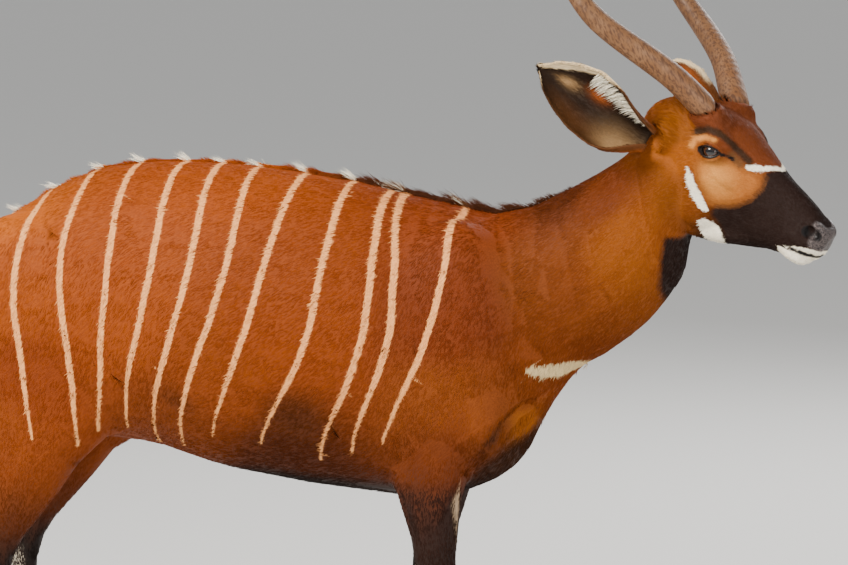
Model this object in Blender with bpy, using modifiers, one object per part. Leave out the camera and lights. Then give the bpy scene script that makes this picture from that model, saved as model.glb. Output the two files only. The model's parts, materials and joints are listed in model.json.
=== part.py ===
"""A still, life-size female mountain bongo that stands on its four feet.

The animal faces +X, its left side is +Y and the floor is z = 0. Everything is modelled with x = 0 at
the withers, and the last step moves the whole animal so that the middle of its box is over the origin.
The flesh is lofted from named stations, fused, and then parted into head, neck, torso, tail and legs.
"""
import math
import random
from collections import namedtuple

import bmesh
import bpy
from mathutils import Matrix, Vector

GAP = 0.0003
LOOSE_GAP = 0.00045
OBJECT_NAME = "bongo"
TRUNK_SQUARENESS = 2.05
ACROSS = Vector((0.0, 1.0, 0.0))
ALONG = Vector((1.0, 0.0, 0.0))

# Trunk stations from the rump to the chest: x, back height, belly height, half width.
TRUNK = [
    (-1.025, 1.020, 0.880, 0.060),
    (-0.985, 1.062, 0.800, 0.120),
    (-0.910, 1.113, 0.735, 0.165),
    (-0.800, 1.180, 0.700, 0.195),
    (-0.700, 1.223, 0.693, 0.205),
    (-0.580, 1.238, 0.683, 0.218),
    (-0.450, 1.238, 0.650, 0.236),
    (-0.310, 1.226, 0.630, 0.243),
    (-0.180, 1.209, 0.618, 0.232),
    (-0.060, 1.184, 0.612, 0.203),
    (0.040, 1.165, 0.630, 0.170),
    (0.120, 1.130, 0.675, 0.135),
    (0.168, 1.020, 0.755, 0.083),
]
# Neck stations from the shoulders to the head: crest point, throat point, half width, sideways shift.
NECK = [
    ((-0.030, 1.110), (0.130, 0.700), 0.150, 0.000),
    ((0.100, 1.158), (0.230, 0.850), 0.130, 0.000),
    ((0.165, 1.177), (0.305, 0.900), 0.113, 0.000),
    ((0.235, 1.213), (0.385, 0.965), 0.103, -0.003),
    ((0.308, 1.254), (0.438, 1.045), 0.094, -0.010),
    ((0.370, 1.300), (0.456, 1.118), 0.088, -0.017),
    ((0.440, 1.330), (0.500, 1.190), 0.070, -0.022),
]
# Foreleg stations downwards: x, z, half depth, half width, distance from the middle plane.
FORELEG = [
    (0.018, 0.840, 0.095, 0.050, 0.105),
    (-0.010, 0.720, 0.087, 0.052, 0.112),
    (-0.016, 0.640, 0.068, 0.046, 0.112),
    (-0.010, 0.560, 0.049, 0.038, 0.110),
    (-0.006, 0.480, 0.039, 0.033, 0.108),
    (0.000, 0.425, 0.038, 0.035, 0.107),
    (-0.001, 0.385, 0.033, 0.031, 0.107),
    (-0.006, 0.330, 0.025, 0.022, 0.106),
    (-0.008, 0.230, 0.023, 0.021, 0.106),
    (-0.009, 0.160, 0.025, 0.023, 0.106),
    (-0.009, 0.125, 0.030, 0.028, 0.106),
    (0.002, 0.092, 0.025, 0.026, 0.106),
    (0.012, 0.066, 0.026, 0.028, 0.106),
]
# Hind leg stations downwards, in the same order.
HINDLEG = [
    (-0.800, 0.960, 0.150, 0.080, 0.105),
    (-0.800, 0.840, 0.150, 0.084, 0.118),
    (-0.805, 0.740, 0.132, 0.074, 0.124),
    (-0.825, 0.655, 0.103, 0.060, 0.122),
    (-0.862, 0.575, 0.075, 0.046, 0.119),
    (-0.905, 0.500, 0.053, 0.036, 0.116),
    (-0.920, 0.445, 0.040, 0.033, 0.115),
    (-0.918, 0.390, 0.033, 0.028, 0.114),
    (-0.908, 0.310, 0.026, 0.023, 0.113),
    (-0.896, 0.220, 0.024, 0.022, 0.112),
    (-0.890, 0.160, 0.026, 0.024, 0.112),
    (-0.888, 0.125, 0.031, 0.029, 0.112),
    (-0.877, 0.092, 0.026, 0.026, 0.112),
    (-0.867, 0.066, 0.027, 0.028, 0.112),
]
# How far each hoof stands ahead of (+) or behind (-) its plain place, and where a leg starts to lean.
STRIDE = {"fore_right": 0.008, "fore_left": -0.165, "hind_right": 0.040, "hind_left": -0.035}
STRIDE_TOP = 0.840
HOCK_POINT = (-0.962, 0.505)
# Swellings of muscle and bone on each side: name, place beside the middle plane, radii, tilt in degrees.
MUSCLES = [
    ("shoulder", (0.010, 0.104, 0.930), (0.140, 0.080, 0.225), 12.0),
    ("upper_arm", (0.056, 0.104, 0.800), (0.088, 0.058, 0.115), -30.0),
    ("haunch", (-0.815, 0.104, 0.930), (0.180, 0.102, 0.210), -8.0),
    ("stifle", (-0.725, 0.120, 0.755), (0.080, 0.060, 0.110), 25.0),
    ("hip", (-0.590, 0.118, 1.120), (0.090, 0.060, 0.050), -10.0),
    ("seat_bone", (-0.968, 0.062, 0.985), (0.058, 0.052, 0.095), 10.0),
]
BRISKET = (0.090, 0.0, 0.785)
BRISKET_RADII = (0.082, 0.088, 0.098)
DOCK = (-0.960, 0.0, 1.055)
DOCK_RADII = (0.060, 0.034, 0.034)

# Head place and pose: the point midway between the eyes, and the turn and dip of the line to the nose.
EYES_MIDDLE = Vector((0.5415, -0.0436, 1.2895))
HEAD_TURN = math.radians(-16.0)
HEAD_DIP = math.radians(35.6)
# Head stations forwards from the eyes: distance, top, widest level, bottom, half width.
HEAD = [
    (-0.174, -0.023, -0.049, -0.076, 0.026),
    (-0.154, -0.001, -0.047, -0.090, 0.046),
    (-0.134, 0.015, -0.043, -0.108, 0.062),
    (-0.104, 0.033, -0.036, -0.138, 0.073),
    (-0.066, 0.046, -0.030, -0.159, 0.077),
    (-0.030, 0.052, -0.028, -0.167, 0.080),
    (0.010, 0.052, -0.025, -0.169, 0.077),
    (0.050, 0.044, -0.028, -0.165, 0.068),
    (0.090, 0.036, -0.032, -0.150, 0.056),
    (0.130, 0.029, -0.034, -0.126, 0.045),
    (0.170, 0.026, -0.034, -0.101, 0.040),
    (0.200, 0.021, -0.032, -0.088, 0.039),
    (0.228, 0.013, -0.028, -0.079, 0.037),
    (0.247, 0.000, -0.026, -0.066, 0.031),
    (0.259, -0.014, -0.028, -0.050, 0.017),
]
EYE_SPREAD = 0.068
EYE_RADIUS = 0.0205
LID_RADIUS = 0.0260

# Horn: base in the head's own frame, then the path as back, up and out from it, with the thickness.
HORN_BASE = (-0.056, 0.039)
HORN_SPREAD = 0.047
HORN_PATH = [
    (0.000, 0.000, 0.000, 0.0262),
    (0.035, 0.052, 0.036, 0.0246),
    (0.073, 0.095, 0.072, 0.0232),
    (0.144, 0.153, 0.114, 0.0208),
    (0.193, 0.200, 0.126, 0.0188),
    (0.243, 0.275, 0.124, 0.0158),
    (0.270, 0.360, 0.107, 0.0120),
    (0.277, 0.440, 0.084, 0.0080),
    (0.271, 0.500, 0.066, 0.0030),
]
HORN_TWIST = math.radians(210.0)
HORN_KEEL = 0.16

# Ear: root and tip of its back line in the head's frame (forward, up, outwards), and the cup's stations:
# fraction of the length, upper and lower half width, half angle of the rolled sheet.
EAR_ROOT = (-0.116, -0.065, 0.078)
EAR_TIP_RIGHT = (-0.325, -0.055, 0.185)
EAR_TIP_LEFT = (-0.294, -0.055, 0.218)
EAR_FACING = (0.38, 0.42, 0.82)
EAR_CUP = [
    (0.00, 0.022, 0.025, 156.0),
    (0.12, 0.023, 0.046, 136.0),
    (0.25, 0.031, 0.064, 112.0),
    (0.40, 0.046, 0.070, 88.0),
    (0.58, 0.055, 0.066, 70.0),
    (0.76, 0.046, 0.051, 58.0),
    (0.90, 0.030, 0.032, 50.0),
    (1.00, 0.008, 0.008, 45.0),
]
EAR_WALL = 0.0045

# Tail: path of its core from the croup to the tip, with the radius.
TAIL_PATH = [
    (-0.930, 1.060, 0.026),
    (-1.000, 1.056, 0.024),
    (-1.052, 1.015, 0.021),
    (-1.078, 0.940, 0.018),
    (-1.084, 0.840, 0.015),
    (-1.080, 0.740, 0.014),
    (-1.074, 0.640, 0.015),
    (-1.070, 0.570, 0.008),
]
TAIL_TUFT_TOP = 0.700
TAIL_TUFT_TIP = 0.500
TAIL_LAST_ROOT = 0.600
TAIL_LOCKS = 12
TAIL_LOCK_X = -1.076
TAIL_LOCK_WIDTH = 0.036
TAIL_LOCK_DEPTH = 0.015

# Crest of short mane along the spine: x and the height of its tips over the skin, and how deep it roots.
CREST_LINE = [(-0.860, 0.004), (-0.760, 0.022), (-0.550, 0.028), (-0.300, 0.034), (-0.120, 0.046),
              (0.020, 0.056), (0.100, 0.032), (0.190, 0.004)]
CREST_LOCKS = 38
CREST_LOCK_WIDTH = 0.032
CREST_LOCK_DEPTH = 0.011
CREST_ROOT = 0.012

# Hooves: top of the horn shoe, outline of one toe and half the cleft between the two.
CORONET = 0.050
TOE_LENGTH = 0.049
TOE_WIDTH = 0.0185
TOE_SPREAD = 0.0215

COAT = (0.36, 0.115, 0.035)
DARK_COAT = (0.20, 0.065, 0.028)
HORN_COLOUR = (0.23, 0.165, 0.115)
HOOF_COLOUR = (0.035, 0.028, 0.024)
EYE_COLOUR = (0.010, 0.008, 0.009)

BODY_VOXEL = 0.0085
HEAD_VOXEL = 0.0042
EAR_VOXEL = 0.0018
BODY_TRIANGLES = 4850
HEAD_TRIANGLES = 3200
EAR_TRIANGLES = 620
DIAGONAL_LIFT = 0.00004

Section = namedtuple("Section", "centre side up width rise drop square")


def clear_scene():
    for item in list(bpy.data.objects):
        bpy.data.objects.remove(item, do_unlink=True)


def make_collection(name):
    collection = bpy.data.collections.new(name)
    bpy.context.scene.collection.children.link(collection)
    return collection


def make_material(name, colour, roughness):
    material = bpy.data.materials.new(name)
    material.use_nodes = True
    shader = material.node_tree.nodes["Principled BSDF"]
    shader.inputs["Base Color"].default_value = (*colour, 1.0)
    shader.inputs["Roughness"].default_value = roughness
    shader.inputs["Metallic"].default_value = 0.0
    material.diffuse_color = (*colour, 1.0)
    return material


def add_object(name, mesh, collection):
    item = bpy.data.objects.new(name, mesh)
    collection.objects.link(item)
    return item


def hide_cutter(item):
    item.hide_render = True
    item.display_type = "WIRE"
    return item


def apply_modifiers(item):
    """Replace the object's mesh by its evaluated one and drop the modifiers."""
    bpy.context.view_layer.update()
    graph = bpy.context.evaluated_depsgraph_get()
    mesh = bpy.data.meshes.new_from_object(item.evaluated_get(graph))
    old = item.data
    item.modifiers.clear()
    item.data = mesh
    bpy.data.meshes.remove(old)
    return item


def catmull(before, start, end, after, t):
    """Smooth value between start and end, for numbers and vectors alike."""
    return 0.5 * (
        2.0 * start
        + (end - before) * t
        + (2.0 * before - 5.0 * start + 4.0 * end - after) * t * t
        + (3.0 * start - before - 3.0 * end + after) * t * t * t
    )


def finer(rows, steps):
    """Rows of numbers or vectors, with steps smooth rows from each row to the next."""
    result = []
    last = len(rows) - 1
    for index in range(last):
        before = rows[max(index - 1, 0)]
        after = rows[min(index + 2, last)]
        for step in range(steps):
            t = step / steps
            spans = zip(before, rows[index], rows[index + 1], after)
            row = [catmull(a, b, c, d, t) for a, b, c, d in spans]
            result.append(row)
    result.append(list(rows[last]))
    return result


def ring(section, sides):
    """Points of one oval cross-section, squarer or more pointed as its exponent says."""
    points = []
    power = 2.0 / section.square
    for index in range(sides):
        angle = 2.0 * math.pi * index / sides
        across = math.copysign(abs(math.cos(angle)) ** power, math.cos(angle))
        along = math.copysign(abs(math.sin(angle)) ** power, math.sin(angle))
        reach = section.rise if along > 0.0 else section.drop
        points.append(section.centre + section.side * section.width * across + section.up * reach * along)
    return points


def skin_rings(name, rings):
    """Closed mesh through rings of equal length, with a flat cap at each end."""
    mesh = bpy.data.meshes.new(name)
    shape = bmesh.new()
    loops = [[shape.verts.new(point) for point in points] for points in rings]
    for lower, upper in zip(loops, loops[1:]):
        count = len(lower)
        for index in range(count):
            after = (index + 1) % count
            shape.faces.new((lower[index], lower[after], upper[after], upper[index]))
    shape.faces.new(list(reversed(loops[0])))
    shape.faces.new(loops[-1])
    bmesh.ops.recalc_face_normals(shape, faces=shape.faces)
    shape.to_mesh(mesh)
    shape.free()
    return mesh


def loft(name, sections, sides, collection):
    return add_object(name, skin_rings(name, [ring(section, sides) for section in sections]), collection)


def ellipsoid(name, centre, radii, frame, collection, segments=20):
    """Egg with its three radii along the columns of frame."""
    mesh = bpy.data.meshes.new(name)
    shape = bmesh.new()
    bmesh.ops.create_uvsphere(shape, u_segments=segments, v_segments=segments * 2 // 3, radius=1.0)
    stretch = Matrix.Diagonal((*radii, 1.0))
    bmesh.ops.transform(shape, matrix=Matrix.Translation(centre) @ frame @ stretch, verts=shape.verts)
    shape.to_mesh(mesh)
    shape.free()
    return add_object(name, mesh, collection)


def upright(tilt=0.0):
    """Frame turned about Y by tilt degrees."""
    return Matrix.Rotation(math.radians(tilt), 4, "Y")


def prism(name, outline, near, far, collection, grow=0.0):
    """Cutter with an outline in X and Z that runs from y = near to y = far."""
    curve = bpy.data.curves.new(name, "CURVE")
    curve.dimensions = "2D"
    curve.fill_mode = "BOTH"
    curve.extrude = abs(far - near) / 2.0 + grow
    spline = curve.splines.new("POLY")
    spline.points.add(len(outline) - 1)
    middle = Vector((sum(x for x, z in outline), sum(z for x, z in outline))) / len(outline)
    for point, (x, z) in zip(spline.points, outline):
        out = (Vector((x, z)) - middle).normalized() * grow * 1.5
        point.co = (x + out.x, z + out.y, 0.0, 1.0)
    spline.use_cyclic_u = True
    item = bpy.data.objects.new(name, curve)
    collection.objects.link(item)
    item.rotation_euler = (math.radians(90.0), 0.0, 0.0)
    item.location = (0.0, (near + far) / 2.0, 0.0)
    bpy.context.view_layer.update()
    graph = bpy.context.evaluated_depsgraph_get()
    mesh = bpy.data.meshes.new_from_object(item.evaluated_get(graph))
    mesh.transform(item.matrix_world)
    bpy.data.objects.remove(item, do_unlink=True)
    shape = bmesh.new()
    shape.from_mesh(mesh)
    bmesh.ops.remove_doubles(shape, verts=shape.verts, dist=1e-6)
    bmesh.ops.recalc_face_normals(shape, faces=shape.faces)
    shape.to_mesh(mesh)
    shape.free()
    return hide_cutter(add_object(name, mesh, collection))


def half_space(name, point, normal, collection, size=1.6):
    """Box that fills the side of a plane that its normal points to."""
    mesh = bpy.data.meshes.new(name)
    shape = bmesh.new()
    bmesh.ops.create_cube(shape, size=size)
    turn = normal.to_track_quat("Z", "Y").to_matrix().to_4x4()
    place = Matrix.Translation(point + normal.normalized() * size / 2.0) @ turn
    bmesh.ops.transform(shape, matrix=place, verts=shape.verts)
    shape.to_mesh(mesh)
    shape.free()
    return hide_cutter(add_object(name, mesh, collection))


def combine(host, tool, operation, solver="EXACT"):
    """Boolean of host with tool, applied."""
    modifier = host.modifiers.new("combine", "BOOLEAN")
    modifier.operation = operation
    modifier.solver = solver
    modifier.object = tool
    return apply_modifiers(host)


def copy_of(item, name, collection):
    return add_object(name, item.data.copy(), collection)


def swollen(item, name, collection):
    """Copy of a closed skin, a gap wider on every side."""
    copy = copy_of(item, name, collection)
    grow = copy.modifiers.new("grow", "DISPLACE")
    grow.mid_level = 0.0
    grow.strength = LOOSE_GAP
    return apply_modifiers(copy)


def fuse(name, pieces, voxel, smoothing, collection, soft=None):
    """One skin over overlapping closed pieces, which are used up.

    soft is a height and more smoothing over it.
    """
    shape = bmesh.new()
    for piece in pieces:
        shape.from_mesh(piece.data)
    mesh = bpy.data.meshes.new(name)
    shape.to_mesh(mesh)
    shape.free()
    for piece in pieces:
        bpy.data.objects.remove(piece, do_unlink=True)
    item = add_object(name, mesh, collection)
    remesh = item.modifiers.new("skin", "REMESH")
    remesh.mode = "VOXEL"
    remesh.voxel_size = voxel
    remesh.adaptivity = 0.0
    smooth = item.modifiers.new("soften", "SMOOTH")
    smooth.factor = 0.5
    smooth.iterations = smoothing
    apply_modifiers(item)
    if soft:
        level, rounds = soft
        group = item.vertex_groups.new(name="soft")
        for vert in item.data.vertices:
            weight = min(1.0, max(0.0, (vert.co.z - level) / 0.10))
            group.add([vert.index], weight, "REPLACE")
        more = item.modifiers.new("soften_more", "SMOOTH")
        more.factor = 0.5
        more.iterations = rounds
        more.vertex_group = group.name
        apply_modifiers(item)
        item.vertex_groups.clear()
    return item


def thin_out(item, triangles):
    """Collapse edges until about this many triangles are left."""
    modifier = item.modifiers.new("fewer", "DECIMATE")
    have = sum(len(face.vertices) - 2 for face in item.data.polygons)
    modifier.ratio = min(1.0, triangles / have)
    modifier.use_collapse_triangulate = True
    return apply_modifiers(item)


def keep_largest(item):
    """Drop every closed surface of the mesh but the largest."""
    shape = bmesh.new()
    shape.from_mesh(item.data)
    unseen = set(shape.verts)
    groups = []
    while unseen:
        start = unseen.pop()
        group = [start]
        stack = [start]
        while stack:
            for edge in stack.pop().link_edges:
                for vert in edge.verts:
                    if vert in unseen:
                        unseen.remove(vert)
                        group.append(vert)
                        stack.append(vert)
        groups.append(group)
    groups.sort(key=len, reverse=True)
    scraps = [vert for group in groups[1:] for vert in group]
    bmesh.ops.delete(shape, geom=scraps, context="VERTS")
    shape.to_mesh(item.data)
    shape.free()
    return item


def part_diagonal(shape, edge, source):
    """Two polygons were cut along one diagonal, so the first one gets a middle point of its own."""
    start, end = edge.verts
    first = edge.link_faces[0][source]
    pair = [face for face in edge.link_faces if face[source] == first]
    lift = sum((face.normal for face in pair), Vector()) * DIAGONAL_LIFT
    middle = shape.verts.new((start.co + end.co) / 2.0 + lift)
    for face in pair:
        for left_out in (start, end):
            shape.faces.new([middle if vert is left_out else vert for vert in face.verts])
    bmesh.ops.delete(shape, geom=pair, context="FACES_ONLY")


def tidy_mesh(item):
    """Triangles only, with doubled and sliver points merged and no edge shared by more than two faces."""
    shape = bmesh.new()
    shape.from_mesh(item.data)
    bmesh.ops.remove_doubles(shape, verts=shape.verts, dist=0.00002)
    bmesh.ops.dissolve_degenerate(shape, edges=shape.edges, dist=0.00002)
    bmesh.ops.delete(shape, geom=[edge for edge in shape.edges if not edge.link_faces], context="EDGES")
    source = shape.faces.layers.int.new("source")
    for index, face in enumerate(shape.faces):
        face[source] = index
    bmesh.ops.triangulate(shape, faces=shape.faces)
    for edge in [edge for edge in shape.edges if len(edge.link_faces) == 4]:
        part_diagonal(shape, edge, source)
    shape.faces.layers.int.remove(source)
    shape.to_mesh(item.data)
    shape.free()
    return item


def head_frame():
    """The head's forward, left and up directions."""
    forward = Vector((
        math.cos(HEAD_DIP) * math.cos(HEAD_TURN),
        math.cos(HEAD_DIP) * math.sin(HEAD_TURN),
        -math.sin(HEAD_DIP),
    ))
    left = Vector((-math.sin(HEAD_TURN), math.cos(HEAD_TURN), 0.0))
    return forward, left, forward.cross(left)


FORWARD, LEFT, UP = head_frame()


def at_head(forward, up, left):
    """World place of a point given in the head's frame."""
    return EYES_MIDDLE + FORWARD * forward + UP * up + LEFT * left


def head_matrix():
    """Matrix whose columns are the head's forward, left and up."""
    return Matrix((
        (FORWARD.x, LEFT.x, UP.x, 0.0),
        (FORWARD.y, LEFT.y, UP.y, 0.0),
        (FORWARD.z, LEFT.z, UP.z, 0.0),
        (0.0, 0.0, 0.0, 1.0),
    ))


def trunk_piece(collection):
    sections = []
    for x, top, bottom, width in finer(TRUNK, 4):
        widest = bottom + (top - bottom) * 0.46
        centre = Vector((x, 0.0, widest))
        sections.append(Section(
            centre, Vector((0.0, 1.0, 0.0)), Vector((0.0, 0.0, 1.0)), width, top - widest,
            widest - bottom, TRUNK_SQUARENESS
        ))
    return loft("trunk", sections, 32, collection)


def neck_piece(collection):
    rows = [(Vector((t[0], y, t[1])), Vector((b[0], y, b[1])), width) for t, b, width, y in NECK]
    sections = []
    for top, bottom, width in finer(rows, 4):
        up = (top - bottom).normalized()
        middle = bottom + (top - bottom) * 0.5
        half = (top - bottom).length / 2.0
        sections.append(Section(middle, Vector((0.0, 1.0, 0.0)), up, width, half, half, 2.0))
    return loft("neck", sections, 28, collection)


def leg_rows(rows, side, stride):
    """Leg stations of one leg, sheared so that its foot stands a stride ahead."""
    result = []
    for x, z, depth, width, spread in rows:
        share = max(0.0, (STRIDE_TOP - z) / (STRIDE_TOP - CORONET))
        result.append((x + stride * share, z, depth, width, spread * side))
    return result


def leg_piece(name, rows, collection):
    sections = []
    for x, z, depth, width, y in finer(rows, 3):
        sections.append(Section(
            Vector((x, y, z)), Vector((0.0, 1.0, 0.0)), Vector((1.0, 0.0, 0.0)), width, depth, depth, 2.0
        ))
    return loft(name, sections, 20, collection)


def toe_pieces(foot_x, foot_y, collection):
    """The two fleshy ends that the hooves sit under."""
    pieces = []
    for sign in (-1.0, 1.0):
        sections = []
        for z, length, width, ahead in ((0.105, 0.018, 0.014, -0.010), (0.075, 0.027, 0.0175, -0.002),
                                        (0.030, 0.036, 0.0190, 0.010)):
            centre = Vector((foot_x + ahead, foot_y + sign * TOE_SPREAD, z))
            sections.append(Section(
                centre, Vector((0.0, 1.0, 0.0)), Vector((1.0, 0.0, 0.0)), width, length, length * 0.9, 2.2
            ))
        pieces.append(loft("toe", sections, 16, collection))
    return pieces


def muscle_pieces(collection):
    """Shoulders, haunches, hip bones and the other swellings of the trunk."""
    pieces = []
    for side in (-1.0, 1.0):
        for name, (x, out, z), radii, tilt in MUSCLES:
            pieces.append(ellipsoid(name, (x, out * side, z), radii, upright(tilt), collection))
    for name, centre, radii in (("brisket", BRISKET, BRISKET_RADII), ("dock", DOCK, DOCK_RADII)):
        pieces.append(ellipsoid(name, centre, radii, upright(), collection))
    return pieces


def hock_piece(name, foot, collection):
    """Heel bone and its tendon behind the gaskin."""
    x_shift = foot[0] - HINDLEG[-1][0]
    share = 0.45
    rows = [
        (-0.905 + x_shift * 0.25, 0.680, 0.030, 0.022),
        (-0.940 + x_shift * share, 0.580, 0.020, 0.016),
        (HOCK_POINT[0] + x_shift * share, HOCK_POINT[1], 0.017, 0.016),
        (-0.940 + x_shift * share, 0.430, 0.018, 0.018),
    ]
    sections = [
        Section(Vector((x, foot[1], z)), ACROSS, ALONG, width, depth, depth, 2.0)
        for x, z, depth, width in finer(rows, 3)
    ]
    return loft(name, sections, 12, collection)


def feet():
    """Name, stations and coronet centre of each leg."""
    result = {}
    for name, rows in (("fore", FORELEG), ("hind", HINDLEG)):
        for side_name, side in (("right", -1.0), ("left", 1.0)):
            key = name + "_" + side_name
            stations = leg_rows(rows, side, STRIDE[key])
            result[key] = (stations, (stations[-1][0], stations[-1][4]))
    return result


def body_skin(collection):
    """Trunk, neck and legs as one skin."""
    pieces = [trunk_piece(collection), neck_piece(collection)] + muscle_pieces(collection)
    for key, (stations, foot) in feet().items():
        pieces.append(leg_piece(key, stations, collection))
        pieces += toe_pieces(foot[0], foot[1], collection)
        if key.startswith("hind"):
            pieces.append(hock_piece(key, foot, collection))
    return fuse("body", pieces, BODY_VOXEL, 4, collection, soft=(0.60, 30))


def head_pieces(collection):
    sections = []
    for forward, top, level, bottom, width in finer(HEAD, 3):
        sections.append(Section(
            at_head(forward, level, 0.0), LEFT, UP, width, top - level, level - bottom, 2.1
        ))
    pieces = [loft("skull", sections, 32, collection)]
    frame = head_matrix()
    lumps = [
        ("brow", (-0.008, 0.020, 0.056), (0.044, 0.022, 0.018)),
        ("cheek_bone", (0.010, -0.030, 0.062), (0.060, 0.016, 0.016)),
        ("jaw_muscle", (0.020, -0.100, 0.044), (0.058, 0.026, 0.052)),
        ("upper_lip", (0.208, -0.036, 0.022), (0.046, 0.019, 0.020)),
        ("nose_wing", (0.230, -0.006, 0.018), (0.025, 0.016, 0.018)),
        ("lower_lip", (0.205, -0.070, 0.015), (0.042, 0.017, 0.014)),
        ("eyeball_cover", (0.0, 0.0, EYE_SPREAD), (LID_RADIUS, LID_RADIUS, LID_RADIUS)),
        ("ear_root", (-0.094, -0.037, 0.066), (0.036, 0.032, 0.036)),
        ("horn_root", (HORN_BASE[0] + 0.006, HORN_BASE[1] - 0.006, HORN_SPREAD), (0.040, 0.036, 0.032)),
    ]
    for side in (-1.0, 1.0):
        for name, (forward, up, out), radii in lumps:
            pieces.append(ellipsoid(name, at_head(forward, up, out * side), radii, frame, collection))
        jaw = frame @ Matrix.Rotation(math.radians(-26.0), 4, "Y")
        place = at_head(0.062, -0.135, 0.026 * side)
        pieces.append(ellipsoid("jaw_bone", place, (0.085, 0.022, 0.024), jaw, collection))
    pieces.append(ellipsoid("chin", at_head(0.212, -0.071, 0.0), (0.034, 0.026, 0.017), frame, collection))
    nose = at_head(0.234, -0.012, 0.0)
    pieces.append(ellipsoid("nose_pad", nose, (0.025, 0.024, 0.023), frame, collection))
    return pieces


def head_skin(collection):
    """Head and the top of the neck as one finer skin."""
    return fuse("head", head_pieces(collection) + [neck_piece(collection)], HEAD_VOXEL, 8, collection)


def ear_pose(side, tip):
    """Back line, opening direction and width direction of one ear, in world directions."""
    root = at_head(EAR_ROOT[0], EAR_ROOT[1], EAR_ROOT[2] * side)
    end = at_head(tip[0], tip[1], tip[2] * side)
    along = (end - root).normalized()
    facing = FORWARD * EAR_FACING[0] + UP * EAR_FACING[1] + LEFT * EAR_FACING[2] * side
    facing = (facing - along * facing.dot(along)).normalized()
    return root, end, along, facing, facing.cross(along) * side


def ear_shell(name, side, tip, collection):
    """Rolled sheet, thickened, that opens from a tube at the root into a broad cup."""
    root, end, along, facing, across = ear_pose(side, tip)
    columns = 8
    mesh = bpy.data.meshes.new(name)
    shape = bmesh.new()
    rows = []
    for share, upper_width, lower_width, half_angle in EAR_CUP:
        angle = math.radians(half_angle)
        stretch = math.sin(min(angle, math.pi / 2.0))
        depth = (upper_width + lower_width) / 2.0 / stretch
        spine = root.lerp(end, share)
        row = []
        for column in range(columns + 1):
            turn = angle * (2.0 * column / columns - 1.0)
            width = (upper_width if turn > 0.0 else lower_width) / stretch
            place = spine + across * width * math.sin(turn) + facing * depth * (1.0 - math.cos(turn))
            row.append(shape.verts.new(place))
        rows.append(row)
    for lower, upper in zip(rows, rows[1:]):
        for column in range(columns):
            corners = (lower[column], lower[column + 1], upper[column + 1], upper[column])
            shape.faces.new(corners)
    bmesh.ops.recalc_face_normals(shape, faces=shape.faces)
    shape.to_mesh(mesh)
    shape.free()
    item = add_object(name, mesh, collection)
    wall = item.modifiers.new("wall", "SOLIDIFY")
    wall.thickness = EAR_WALL
    wall.offset = 0.0
    return apply_modifiers(item)


def ear_bulb(name, side, tip, collection):
    """Root bulb inside the tube of the ear, sunk into the head."""
    root, _, along, facing, across = ear_pose(side, tip)
    radius = EAR_CUP[0][1] + EAR_WALL / 2.0 + 0.0015
    sections = []
    for ahead, size in ((-0.026, 0.45), (-0.018, 0.80), (-0.004, 1.03), (0.009, 1.00), (0.027, 0.55)):
        centre = root + facing * EAR_CUP[0][1] + along * ahead
        reach = radius * size
        sections.append(Section(centre, across, facing, reach, reach, reach, 2.0))
    return loft(name, sections, 16, collection)


def ear_skin(name, side, tip, collection):
    """Shell and root bulb as one skin."""
    pieces = [ear_shell("shell", side, tip, collection), ear_bulb("bulb", side, tip, collection)]
    return thin_out(fuse(name, pieces, EAR_VOXEL, 1, collection), EAR_TRIANGLES)


def horn_rings(side, grow):
    """Cross-sections of one horn, with the keel turning about it towards the tip."""
    base = at_head(HORN_BASE[0], HORN_BASE[1], HORN_SPREAD * side)
    back = Vector((-math.cos(HEAD_TURN), -math.sin(HEAD_TURN), 0.0))
    rows = [
        (base + back * b + Vector((0.0, 0.0, 1.0)) * u + LEFT * side * o, radius)
        for b, u, o, radius in HORN_PATH
    ]
    rows = finer(rows, 2)
    sides = 12
    rings = []
    last = len(rows) - 1
    for index, (centre, radius) in enumerate(rows):
        ahead = rows[min(index + 1, last)][0] - rows[max(index - 1, 0)][0]
        along = ahead.normalized()
        front = (FORWARD - along * FORWARD.dot(along)).normalized()
        flank = along.cross(front)
        keel = HORN_TWIST * index / last * side
        points = []
        for corner in range(sides):
            turn = 2.0 * math.pi * corner / sides
            swell = 1.0 + HORN_KEEL * max(0.0, math.cos(turn - keel)) ** 3
            reach = radius * swell + grow
            points.append(centre + front * reach * math.cos(turn) + flank * reach * math.sin(turn))
        rings.append(points)
    if grow:
        first = rows[0][0] - rows[1][0]
        rings[0] = [point + first.normalized() * grow for point in rings[0]]
    return rings


def eye(name, side, collection, grow=0.0):
    frame = head_matrix() @ Matrix.Rotation(math.radians(90.0), 4, "X")
    radius = EYE_RADIUS + grow
    centre = at_head(0.0, 0.0, EYE_SPREAD * side)
    return ellipsoid(name, centre, (radius, radius, radius), frame, collection, segments=15)


def mouth_cutter(collection):
    """Wedge along the line between the lips, round the front from corner to corner."""
    line = [(0.166, -0.071, 0.044), (0.195, -0.065, 0.041), (0.226, -0.056, 0.034), (0.247, -0.047, 0.021)]
    path = [(a, b, -c) for a, b, c in line] + [(0.256, -0.044, 0.0)] + list(reversed(line))
    rings = []
    for forward, up, left in path:
        outwards = Vector((max(0.0, forward - 0.19) * 12.0, left / 0.044)).normalized()
        outer = (forward + outwards.x * 0.030, left + outwards.y * 0.030)
        inner = (forward - outwards.x * 0.010, left - outwards.y * 0.010)
        rings.append([
            at_head(outer[0], up + 0.0050, outer[1]),
            at_head(inner[0], up, inner[1]),
            at_head(outer[0], up - 0.0050, outer[1]),
        ])
    return hide_cutter(add_object("mouth", skin_rings("mouth", rings), collection))


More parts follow.
